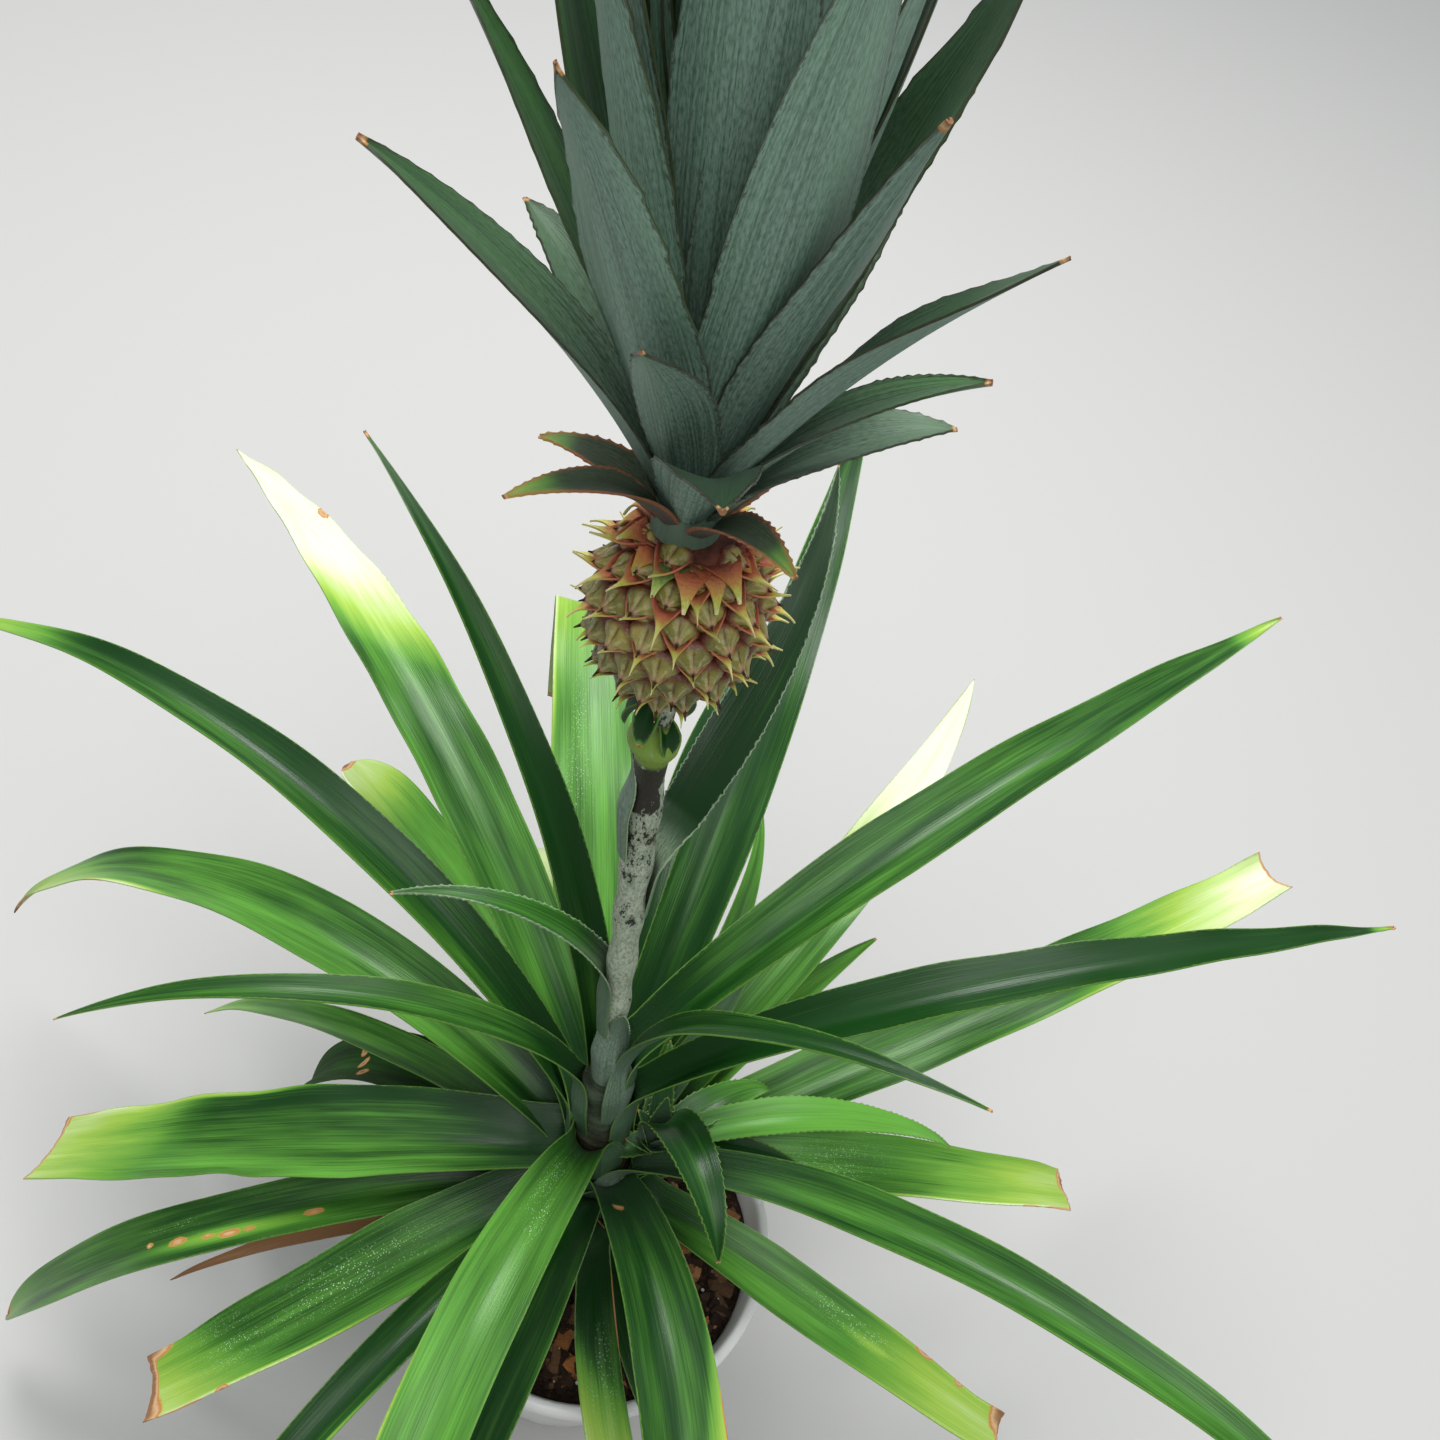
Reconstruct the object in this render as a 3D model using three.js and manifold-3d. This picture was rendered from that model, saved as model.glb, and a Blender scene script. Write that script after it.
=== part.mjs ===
// Pineapple plant in a round plastic pot, in fruit: a leaning stem with a spiral of
// sword leaves, a scaly stalk, one fruit with its crown, and a side shoot at the heart.
// Millimetres, +Z up. The origin is the centre of the pot's flat underside.
import * as THREE from 'three';
import { mergeVertices } from 'three/addons/utils/BufferGeometryUtils.js';
import Module from 'manifold-3d';

const wasm = await Module();
wasm.setup();

// Pot and the bark mix in it
const POT_HEIGHT = 205;
const POT_RIM_RADIUS = 128;
const POT_FOOT_RADIUS = 87;
const POT_WALL = 3;
const RIM_DEPTH = 15;
const RIM_STEP = 5;
const SOIL_TOP = 183;
const SOIL_BUMP = 4;
const SEAT_GAP = 0.3;
const CLEARANCE = 0.35;

// Stem: leans to the left as it rises, and carries every leaf foot
const STEM_FOOT = 185;
const STEM_TOP = 446;
const STEM_FOOT_RADIUS = 26;
const STEM_TOP_RADIUS = 13;
const STEM_FLARE = 6;
const FLARE_FADE = 14;
const RING_SCAR = 0.8;
const RING_PITCH = 4.5;
const HEART_HEIGHT = 430;
const HEART_LEAN = 20;

// Fruit stalk, fruit and crown
const FRUIT_BASE = 794;
const FRUIT_HEIGHT = 80;
const FRUIT_RADIUS = 34;
const FRUIT_LEAN = 20;
const STALK_RADIUS = 7.6;
const STALK_SCAR = 0.6;
const STALK_FLARE = 5;
const COLLAR_DROP = 40;
const COLLAR_SWELL = 3.5;
const SCALE_COUNT = 7;
const SCALE_BAND = 30;
const SCALE_LENGTH = 26;
const SCALE_WIDTH = 15;
const EYE_COUNT = 84;
const EYE_RADIUS = 7.2;
const EYE_HEIGHT = 4;
const BRACT_LENGTH = 13;
const BRACT_WIDTH = 7;
const CROWN_LEAVES = 30;
const CROWN_LENGTH = 262;
const CROWN_SHORTEST = 40;
const CROWN_LEAF_WIDTH = 36;
const CROWN_CORE_RADIUS = 13;
const CROWN_CORE_HEIGHT = 60;

// Leaves: how finely they are drawn, how thick, and when a bent one is made in two
const LEAF_STATIONS = 9;
const EDGE_THICKNESS = 1.6;
const THICKNESS_RATIO = 0.0105;
const MIDRIB_STEPS = 48;
const CREASE_DROP = 86;
const CREASE_SHARE = 0.07;
const FOOT_SINK = 3;
const FACET_TOLERANCE = 0.3;
const WIDE_BEND = 108;
const GOLDEN_ANGLE = 137.5;

const POINTED = 'pointed';
const BLUNT = 'blunt';
const CUT = 'cut';

// The rosette. bearing: compass angle from +X; seat: height of the foot; rise and fall: slope
// at the foot and at the tip, in degrees; bend: above 1 keeps the bend for the outer part;
// sweep: sideways turn by the tip; fold: how steep each half of the channel is.
const ROSETTE = [
  { bearing: 196, seat: 240, length: 336, width: 15, rise: 2, fall: -55, bend: 0.75, sweep: -2 },
  { bearing: 296, seat: 243, length: 246, width: 24, rise: 31, fall: -36, sweep: 25 },
  { bearing: 282, seat: 268, length: 250, width: 28, rise: 22, fall: -30, bend: 0.9, sweep: 36, tip: BLUNT },
  { bearing: 157, seat: 266, length: 372, width: 50, rise: 18, fall: -81, bend: 0.7, sweep: 9, tip: BLUNT },
  { bearing: 30, seat: 273, length: 220, width: 24, rise: 14, fall: -42, bend: 0.9, sweep: 9, tip: BLUNT },
  { bearing: 160, seat: 284, length: 435, width: 27, rise: 18, fall: -60, bend: 0.65, sweep: 1 },
  { bearing: 72, seat: 280, length: 350, width: 21, rise: 34, fall: -26, bend: 0.8, sweep: 28 },
  { bearing: 112, seat: 287, length: 465, width: 26, rise: 22, fall: -54, bend: 0.5, sweep: -4, tip: BLUNT },
  { bearing: 61, seat: 287, length: 165, width: 24, rise: 57, fall: 10, sweep: 10 },
  { bearing: 56, seat: 288, length: 257, width: 34, rise: 33, fall: -13, sweep: -3 },
  { bearing: 201, seat: 289, length: 485, width: 38, rise: 12, fall: -66, bend: 0.85, sweep: -8, tip: BLUNT },
  { bearing: 239, seat: 291, length: 435, width: 28, rise: 36, fall: -57, bend: 0.9, sweep: 10, fold: 30 },
  { bearing: 33, seat: 294, length: 550, width: 50, rise: 22, fall: -4, bend: 1.05, sweep: 12, tip: CUT },
  { bearing: 340, seat: 297, length: 325, width: 40, rise: 32, fall: -39, bend: 0.55, sweep: 20, tip: CUT },
  { bearing: 60, seat: 297, length: 495, width: 44, rise: 28, fall: -8, sweep: 19, tip: BLUNT },
  { bearing: 262, seat: 299, length: 390, width: 42, rise: 48, fall: -43, bend: 0.9 },
  { bearing: 222, seat: 310, length: 310, width: 54, rise: 21, fall: -42, bend: 0.45, sweep: -14, tip: CUT },
  { bearing: 158, seat: 314, length: 640, width: 54, rise: 37, fall: -64, bend: 0.75, sweep: 17 },
  { bearing: 75, seat: 314, length: 146, width: 18, rise: 49, fall: 19, sweep: 12 },
  { bearing: 12, seat: 318, length: 344, width: 44, rise: 26, fall: -30, bend: 0.6, sweep: 11, tip: CUT },
  { bearing: 340, seat: 322, length: 604, width: 34, rise: 61, fall: -40, bend: 1.1, sweep: -3, fold: 30 },
  { bearing: 110, seat: 326, length: 510, width: 60, rise: 38, fall: -14, sweep: -6, tip: CUT, crease: 0.74 },
  { bearing: 190, seat: 330, length: 400, width: 64, rise: 16, fall: -40, bend: 0.45, sweep: -8, tip: CUT },
  { bearing: 301, seat: 314, length: 450, width: 48, rise: 63, fall: -74, bend: 0.76, sweep: -32, tip: BLUNT },
  { bearing: 92, seat: 332, length: 473, width: 44, rise: 41, fall: -38, bend: 0.8, sweep: -5 },
  { bearing: 134, seat: 340, length: 405, width: 46, rise: 34, fall: -33, bend: 0.5, sweep: 1, tip: BLUNT },
  { bearing: 255, seat: 360, length: 443, width: 44, rise: 65, fall: -68, bend: 0.72, sweep: 24, tip: BLUNT },
  { bearing: 82, seat: 349, length: 600, width: 46, rise: 52, fall: -6, bend: 0.9, sweep: 9 },
  { bearing: 158, seat: 356, length: 600, width: 38, rise: 60, fall: -34, bend: 0.9, sweep: 8, fold: 32 },
  { bearing: 133, seat: 367, length: 625, width: 50, rise: 53, fall: -20, bend: 0.55, sweep: 4, tip: BLUNT },
  { bearing: 140, seat: 372, length: 470, width: 28, rise: 88, fall: 12, bend: 1.1, sweep: 2, fold: 32 },
  { bearing: 16, seat: 395, length: 545, width: 36, rise: 72, fall: -20, bend: 0.65, sweep: 18, fold: 32 },
  { bearing: 196, seat: 408, length: 360, width: 22, rise: 80, fall: -41, bend: 0.85, sweep: -2, fold: 30 },
  { bearing: 333, seat: 430, length: 300, width: 20, rise: 92, fall: -8, bend: 1.2, sweep: 20, fold: 30 },
  { bearing: 44, seat: 440, length: 594, width: 44, rise: 68, fall: -14, bend: 0.5, sweep: 10, fold: 30 },
];

// Small leaves that stand on the bare stalk, below the fruit
const STALK_LEAVES = [
  { bearing: 185, seat: 502, length: 192, width: 16, rise: 95, fall: -21, bend: 1.15, sweep: 10 },
  { bearing: 63, seat: 644, length: 232, width: 25, rise: 50, fall: 20, bend: 0.9, sweep: 35 },
  { bearing: 285, seat: 470, length: 60, width: 15, rise: 84, fall: 70 },
  { bearing: 172, seat: 700, length: 48, width: 14, rise: 86, fall: 74 },
];

// The side shoot's leaves, from its own heart
const SHOOT_HEART = new THREE.Vector3(21, 4, 352);
const SHOOT_CORE_RADIUS = 9;
const SHOOT_LEAVES = [
  { bearing: 205, length: 44, width: 15, rise: 30, fall: -35 },
  { bearing: 306, length: 156, width: 28, rise: 110, fall: -57, bend: 1.05, sweep: -7 },
  { bearing: 8, length: 100, width: 17, rise: 38, fall: -38 },
  { bearing: 43, length: 104, width: 24, rise: 56, fall: -62 },
  { bearing: 20, length: 228, width: 25, rise: 48, fall: -48, bend: 0.8, sweep: -4 },
  { bearing: 345, length: 78, width: 16, rise: 62, fall: -10 },
  { bearing: 100, length: 70, width: 15, rise: 70, fall: 30 },
];

const radians = THREE.MathUtils.degToRad;
const { clamp, lerp, smoothstep } = THREE.MathUtils;

// Repeatable scatter between -1 and 1 for the index-th piece.
function scatter(index, salt) {
  const wave = Math.sin(index * 12.9898 + salt * 78.233) * 43758.5453;
  return 2 * (wave - Math.floor(wave)) - 1;
}

// Point in the level plane at a compass angle and a distance.
function outwardAt(turn, reach) {
  return new THREE.Vector3(reach * Math.cos(turn), reach * Math.sin(turn), 0);
}

// Centre line of stem and stalk: the plant leans to -X as it rises.
function axisPoint(height) {
  const low = -HEART_LEAN * (height - STEM_FOOT) / (HEART_HEIGHT - STEM_FOOT);
  const high = -HEART_LEAN - FRUIT_LEAN * (height - HEART_HEIGHT) / (FRUIT_BASE - HEART_HEIGHT);
  return new THREE.Vector3(height < HEART_HEIGHT ? low : high, 0, height);
}

function stemRadius(height) {
  const up = clamp((height - STEM_FOOT) / (STEM_TOP - STEM_FOOT), 0, 1);
  const flare = STEM_FLARE * Math.exp(-(height - STEM_FOOT) / FLARE_FADE);
  return lerp(STEM_FOOT_RADIUS, STEM_TOP_RADIUS, up) + flare;
}

// Closed skin through a row of rings with equal numbers of points, flat at both ends. Each ring
// runs anticlockwise as seen from the end that the row leads to.
function loft(rings) {
  const count = rings[0].length;
  const faces = [];
  const quad = (a, b, c, d) => faces.push(a, b, c, a, c, d);
  for (let row = 0; row + 1 < rings.length; row += 1) {
    for (let i = 0; i < count; i += 1) {
      const here = row * count;
      const next = (i + 1) % count;
      quad(here + i, here + next, here + count + next, here + count + i);
    }
  }
  const end = (rings.length - 1) * count;
  for (let i = 0; i < count / 2 - 1; i += 1) {
    const across = count - 1 - i;
    quad(end + i, end + i + 1, end + across - 1, end + across);
    quad(across, across - 1, i + 1, i);
  }
  const geometry = new THREE.BufferGeometry();
  const positions = rings.flat().flatMap((point) => point.toArray());
  geometry.setAttribute('position', new THREE.Float32BufferAttribute(positions, 3));
  geometry.setIndex(faces);
  return geometry;
}

function solidOf(geometry) {
  const bare = geometry.clone();
  bare.deleteAttribute('normal');
  bare.deleteAttribute('uv');
  const merged = mergeVertices(bare, 1e-4);
  const vertProperties = new Float32Array(merged.attributes.position.array);
  const triVerts = new Uint32Array(merged.index.array);
  return new wasm.Manifold(new wasm.Mesh({ numProp: 3, vertProperties, triVerts }));
}

function geometryOf(solid) {
  const { vertProperties, triVerts, numProp } = solid.getMesh();
  const geometry = new THREE.BufferGeometry();
  const points = new Float32Array(vertProperties.length / numProp * 3);
  for (let i = 0; i * 3 < points.length; i += 1) {
    points.set(vertProperties.subarray(i * numProp, i * numProp + 3), i * 3);
  }
  geometry.setAttribute('position', new THREE.BufferAttribute(points, 3));
  geometry.setIndex(new THREE.BufferAttribute(new Uint32Array(triVerts), 1));
  return geometry;
}

function largestPiece(solid) {
  const pieces = solid.decompose();
  return pieces.reduce((best, piece) => (piece.volume() > best.volume() ? piece : best));
}

// One leaf's midrib: the slope runs from rise to fall, and a crease drops it sharply at one place.
function midrib(leaf, foot) {
  const directionAt = (s) => {
    const drop = leaf.crease ? CREASE_DROP * smoothstep(s, leaf.crease, leaf.crease + CREASE_SHARE) : 0;
    const slope = radians(lerp(leaf.rise, leaf.fall, s ** (leaf.bend ?? 1)) - drop);
    const heading = radians(leaf.bearing + (leaf.sweep ?? 0) * s ** 1.5);
    const side = new THREE.Vector3(-Math.sin(heading), Math.cos(heading), 0);
    const along = outwardAt(heading, Math.cos(slope)).setZ(Math.sin(slope));
    return { along, side, up: along.clone().cross(side) };
  };
  const points = [foot.clone()];
  for (let i = 0; i < MIDRIB_STEPS; i += 1) {
    const { along } = directionAt((i + 0.5) / MIDRIB_STEPS);
    points.push(points[i].clone().addScaledVector(along, leaf.length / MIDRIB_STEPS));
  }
  return (s) => {
    const i = Math.min(Math.floor(s * MIDRIB_STEPS), MIDRIB_STEPS - 1);
    return { at: points[i].clone().lerp(points[i + 1], s * MIDRIB_STEPS - i), ...directionAt(s) };
  };
}

// Half the leaf's width, with its three kinds of end: pointed, blunt, or cut across.
function halfWidth(leaf, s) {
  const base = 0.62 + 0.38 * clamp(s / 0.35, 0, 1) ** 0.7;
  const full = leaf.full ?? 0.3;
  const ends = {
    [POINTED]: 1 - clamp((s - full) / (1 - full), 0, 1) ** 1.6,
    [BLUNT]: Math.sqrt(Math.max(1 - clamp((s - 0.55) / 0.45, 0, 1) ** 2.6, 0)),
    [CUT]: 1 - 0.3 * clamp((s - 0.4) / 0.6, 0, 1) ** 1.5,
  };
  return leaf.width / 2 * base * ends[leaf.tip ?? POINTED] + 0.5;
}

// Closed blade between two fractions of its length: a shallow channel, thickest at the midrib.
// grow makes it larger all round, for cutting a neighbour clear of it.
function blade(leaf, foot, from = 0, to = 1, grow = 0) {
  const rib = midrib(leaf, foot);
  const count = Math.max(4, Math.round((leaf.stations ?? LEAF_STATIONS) * (to - from)));
  const middle = Math.max(leaf.length * THICKNESS_RATIO, EDGE_THICKNESS);
  const rings = [];
  for (let i = 0; i <= count; i += 1) {
    const s = lerp(from, to, i / count);
    const { at, side, up } = rib(s);
    const fold = radians((leaf.fold ?? 20) * (1 - 0.5 * s));
    const half = halfWidth(leaf, s) + grow;
    const thin = leaf.tip ? 1 : 1 - 0.6 * s * s;
    const put = (x, y) => at.clone().addScaledVector(side, x).addScaledVector(up, y);
    const reach = half * Math.cos(fold);
    const edge = half * Math.sin(fold);
    const edgeFloor = edge - EDGE_THICKNESS * thin - grow;
    const ribFloor = -middle * thin - grow;
    rings.push([put(reach, edge + grow), put(0, grow), put(-reach, edge + grow),
      put(-reach, edgeFloor), put(0, ribFloor), put(reach, edgeFloor)]);
  }
  return solidOf(loft(rings));
}

// Round limb whose centre line and radius are functions of height.
function limb(from, to, rows, sides, radiusAt, grow = 0) {
  const rings = [];
  for (let row = 0; row <= rows; row += 1) {
    const height = lerp(from, to, row / rows);
    const centre = axisPoint(height);
    const ring = [];
    for (let i = 0; i < sides; i += 1) {
      ring.push(centre.clone().add(outwardAt(2 * Math.PI * i / sides, radiusAt(height) + grow)));
    }
    rings.push(ring);
  }
  return solidOf(loft(rings));
}

// Foot of a leaf on the stem or stalk, sunk a little way in before it is trimmed to fit.
function footOn(leaf, radius) {
  return axisPoint(leaf.seat).add(outwardAt(radians(leaf.bearing), radius - FOOT_SINK));
}

// Middle of the bend's sideways depth, for deciding which leaves are made in two.
function bendDepth(leaf) {
  return leaf.length * radians(leaf.rise - leaf.fall) / 8;
}

function makePot() {
  const inner = (height) => lerp(POT_FOOT_RADIUS, POT_RIM_RADIUS - RIM_STEP, height / POT_HEIGHT) - POT_WALL;
  const collar = POT_HEIGHT - RIM_DEPTH;
  const profile = [
    [0, 0], [POT_FOOT_RADIUS - 2, 0], [POT_FOOT_RADIUS, 3],
    [inner(collar) + POT_WALL, collar], [POT_RIM_RADIUS - 1.5, collar + 1],
    [POT_RIM_RADIUS, collar + 5], [POT_RIM_RADIUS, POT_HEIGHT - 4],
    [POT_RIM_RADIUS - 1.5, POT_HEIGHT - 1], [POT_RIM_RADIUS - 4, POT_HEIGHT],
    [inner(POT_HEIGHT) + 1, POT_HEIGHT - 1.5], [inner(POT_HEIGHT), POT_HEIGHT - 4],
    [inner(POT_WALL), POT_WALL], [0, POT_WALL],
  ];
  const points = profile.map(([radius, height]) => new THREE.Vector2(radius, height));
  const geometry = new THREE.LatheGeometry(points, 36);
  return { solid: solidOf(geometry.rotateX(Math.PI / 2)), inner };
}

// Bark mix: a plug that fills the pot, with an uneven top that is level round the stem.
function makeSoil(inner) {
  const sides = 30;
  const ringRadii = [0.86, 0.72, 0.56, 0.4];
  const level = POT_WALL + SEAT_GAP;
  const ringAt = (radius, heightOf) => Array.from({ length: sides }, (_, i) => {
    return outwardAt(2 * Math.PI * i / sides, radius).setZ(heightOf(i));
  });
  const rings = [
    ringAt(inner(level) - 2 * SEAT_GAP, () => level),
    ringAt(inner(SOIL_TOP) - 2 * SEAT_GAP, () => SOIL_TOP),
  ];
  for (const share of ringRadii) {
    rings.push(ringAt(inner(SOIL_TOP) * share, (i) => SOIL_TOP + SOIL_BUMP * scatter(i, share * 10)));
  }
  rings.push(ringAt(STEM_FOOT_RADIUS + STEM_FLARE + 3, () => STEM_FOOT - SEAT_GAP));
  return solidOf(loft(rings));
}

function makeStem(grow = 0) {
  const ridged = (height) => stemRadius(height) + RING_SCAR * Math.sin(height / RING_PITCH);
  return limb(STEM_FOOT, STEM_TOP, 22, 12, ridged, grow);
}

// Stalk: even, but for a swollen collar some way below the fruit and a flare right under it.
function stalkRadius(height) {
  const below = FRUIT_BASE - height;
  const collar = COLLAR_SWELL * Math.exp(-(((below - COLLAR_DROP) / 6) ** 2));
  const flare = STALK_FLARE * Math.exp(-below / 9);
  return STALK_RADIUS + collar + flare + STALK_SCAR * Math.cos(height / 7);
}

function makeStalkBody(grow = 0) {
  return limb(STEM_TOP + SEAT_GAP, FRUIT_BASE - SEAT_GAP, 19, 10, stalkRadius, grow);
}

// Stalk with the ring of short scales that the fruit sits in.
function makeStalk() {
  const scales = Array.from({ length: SCALE_COUNT }, (_, i) => {
    const seat = lerp(FRUIT_BASE - SCALE_BAND, FRUIT_BASE - 6, i / (SCALE_COUNT - 1));
    const bearing = GOLDEN_ANGLE * i + 160;
    const bend = { rise: 30, fall: -40, stations: 4 };
    const scale = { bearing, seat, length: SCALE_LENGTH, width: SCALE_WIDTH, ...bend };
    return blade(scale, footOn(scale, stalkRadius(seat) - 1));
  });
  return wasm.Manifold.union([makeStalkBody(), ...scales]).simplify(FACET_TOLERANCE);
}

// Fruit's outline, from 0 at its base to 1 at its top.
function fruitRadius(up) {
  return FRUIT_RADIUS * Math.sin(Math.PI * (0.1 + 0.79 * up)) ** 0.62;
}

// Eyes sit in a golden-angle spiral up the fruit.
const EYES = Array.from({ length: EYE_COUNT }, (_, i) => {
  const up = (i + 0.6) / EYE_COUNT;
  return { up, turn: radians(GOLDEN_ANGLE * i), radius: fruitRadius(up) };
});

// How far the nearest eye's dome stands out at one place on the fruit.
function domeAt(turn, up) {
  const heights = EYES.map((eye) => {
    const round = Math.atan2(Math.sin(turn - eye.turn), Math.cos(turn - eye.turn));
    const away = Math.hypot(round * eye.radius, (up - eye.up) * FRUIT_HEIGHT) / EYE_RADIUS;
    return EYE_HEIGHT * (1 - away ** 2);
  });
  return Math.max(0, ...heights);
}

// Fruit: a barrel of domed eyes, each with a spiny bract under it.
function makeFruit() {
  const base = axisPoint(FRUIT_BASE);
  const rows = 15;
  const sides = 28;
  const rings = Array.from({ length: rows + 1 }, (_, row) => Array.from({ length: sides }, (__, i) => {
    const turn = 2 * Math.PI * i / sides;
    const up = row / rows;
    const dome = row === 0 || row === rows ? 0 : domeAt(turn, up);
    const radius = fruitRadius(up) - EYE_HEIGHT / 2 + dome;
    return outwardAt(turn, radius).setZ(FRUIT_HEIGHT * up);
  }));
  const parts = [solidOf(loft(rings))];
  const upright = new THREE.Vector3(0, 1, 0);
  EYES.forEach(({ up, turn, radius }, i) => {
    const slope = radians(lerp(-30, 18, up) + 10 * scatter(i, 3));
    const length = BRACT_LENGTH * lerp(1, 1.7, Math.abs(2 * up - 0.9));
    const along = outwardAt(turn, Math.cos(slope)).setZ(Math.sin(slope));
    const root = outwardAt(turn, radius - EYE_HEIGHT).setZ(FRUIT_HEIGHT * up - EYE_RADIUS * 0.7);
    const spike = new THREE.ConeGeometry(BRACT_WIDTH / 2, length, 4).translate(0, length / 2, 0);
    spike.applyQuaternion(new THREE.Quaternion().setFromUnitVectors(upright, along));
    parts.push(solidOf(spike.translate(...root.toArray())));
  });
  const fused = wasm.Manifold.union(parts).trimByPlane([0, 0, 1], 0).trimByPlane([0, 0, -1], -FRUIT_HEIGHT);
  return largestPiece(fused.simplify(FACET_TOLERANCE)).translate(base.x, base.y, base.z);
}

// Crown: broad short leaves at its foot that curl outwards, and long upright ones inside.
function makeCrown() {
  const base = axisPoint(FRUIT_BASE + FRUIT_HEIGHT);
  const core = new THREE.CylinderGeometry(5, CROWN_CORE_RADIUS, CROWN_CORE_HEIGHT, 8).rotateX(Math.PI / 2);
  const parts = [solidOf(core.translate(0, 0, CROWN_CORE_HEIGHT / 2 + SEAT_GAP))];
  for (let i = 0; i < CROWN_LEAVES; i += 1) {
    const age = 1 - i / (CROWN_LEAVES - 1);
    const grown = smoothstep(1 - age, -0.1, 0.72);
    const leaf = {
      bearing: GOLDEN_ANGLE * i + 40,
      length: lerp(CROWN_SHORTEST, CROWN_LENGTH, grown) + 8 * scatter(i, 5),
      width: CROWN_LEAF_WIDTH * lerp(0.72, 1, Math.sin(Math.PI * clamp(age, 0.2, 0.8))),
      rise: lerp(87, 48, age ** 1.3),
      fall: lerp(85, -12, smoothstep(age, 0.4, 1)),
      bend: 1.2,
      fold: 24,
      full: 0.5,
      stations: 4,
    };
    const reach = lerp(4, CROWN_CORE_RADIUS - 1, age);
    const root = outwardAt(radians(leaf.bearing), reach).setZ(lerp(46, 3, age));
    parts.push(blade(leaf, root));
  }
  const lean = -THREE.MathUtils.radToDeg(Math.atan(FRUIT_LEAN / (FRUIT_BASE - HEART_HEIGHT)));
  const fused = wasm.Manifold.union(parts).trimByPlane([0, 0, 1], SEAT_GAP).simplify(FACET_TOLERANCE);
  return largestPiece(fused).rotate(0, lean, 0).translate(base.x, base.y, base.z + 1);
}

// Side shoot: a small rosette seated on the stem, its leaves fused on a round heart.
function makeShoot(grow = 0) {
  const heart = new THREE.SphereGeometry(SHOOT_CORE_RADIUS + grow, 12, 8).translate(...SHOOT_HEART.toArray());
  const parts = [solidOf(heart)];
  for (const leaf of SHOOT_LEAVES) {
    const root = SHOOT_HEART.clone().add(outwardAt(radians(leaf.bearing), SHOOT_CORE_RADIUS / 3));
    parts.push(blade({ ...leaf, stations: 5 }, root, 0, 1, grow));
  }
  return wasm.Manifold.union(parts);
}

const finish = (color, roughness) => new THREE.MeshStandardMaterial({ color, roughness, metalness: 0 });
const POT_WHITE = finish(0xe9ebe9, 0.35);
const BARK_BROWN = finish(0x3a2c22, 0.95);
const STEM_GREEN = finish(0x5c6b4c, 0.75);
const STALK_GREY = finish(0x8d9684, 0.85);
const FRUIT_OLIVE = finish(0x8a7a46, 0.6);
const CROWN_GREEN = finish(0x6f8a73, 0.7);
const LEAF_GREEN = finish(0x2f6b2a, 0.45);
const SHOOT_GREEN = finish(0x4c8c2c, 0.5);
const DRY_BROWN = finish(0x7a5230, 0.9);

const plant = new THREE.Group();

function add(name, solid, material) {
  const mesh = new THREE.Mesh(geometryOf(solid), material);
  mesh.name = name;
  plant.add(mesh);
}

const pot = makePot();
const stem = makeStem();
const stalk = makeStalk();
const fruit = makeFruit();
const crown = makeCrown();

add('pot', pot.solid, POT_WHITE);
add('soil', makeSoil(pot.inner), BARK_BROWN);
add('stem', stem, STEM_GREEN);
add('fruit_stalk', stalk, STALK_GREY);
add('fruit', fruit, FRUIT_OLIVE);
add('crown', crown, CROWN_GREEN);

// Leaves are placed from the heart outwards, and each is trimmed clear of what is there already.
const taken = [makeStem(CLEARANCE), makeStalkBody(CLEARANCE)];

function place(name, leaf, foot, material) {
  const isSplit = leaf.crease || bendDepth(leaf) > WIDE_BEND;
  const cut = leaf.crease ? leaf.crease + CREASE_SHARE / 2 : 0.5;
  const spans = isSplit ? [[0, cut], [cut + SEAT_GAP / leaf.length, 1]] : [[0, 1]];
  spans.forEach(([from, to], i) => {
    const space = taken.reduce((body, other) => body.subtract(other), blade(leaf, foot, from, to));
    const label = isSplit ? `${name}_${['foot', 'end'][i]}` : name;
    add(label, largestPiece(space).simplify(FACET_TOLERANCE / 2), material);
  });
  taken.push(blade(leaf, foot, 0, 1, CLEARANCE));
}

STALK_LEAVES.forEach((leaf, i) => {
  place(`stalk_leaf_${i + 1}`, leaf, footOn(leaf, stalkRadius(leaf.seat)), LEAF_GREEN);
});
const shoot = taken.reduce((body, other) => body.subtract(other), makeShoot());
add('side_shoot', largestPiece(shoot).simplify(FACET_TOLERANCE / 2), SHOOT_GREEN);
taken.push(makeShoot(CLEARANCE));

for (let i = ROSETTE.length - 1; i >= 0; i -= 1) {
  const leaf = ROSETTE[i];
  const name = `leaf_${String(i + 1).padStart(2, '0')}`;
  place(name, leaf, footOn(leaf, stemRadius(leaf.seat)), i === 0 ? DRY_BROWN : LEAF_GREEN);
}

export default plant;
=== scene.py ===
import math

import bpy
import numpy as np
from mathutils import Euler, Matrix, Vector, noise


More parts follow.
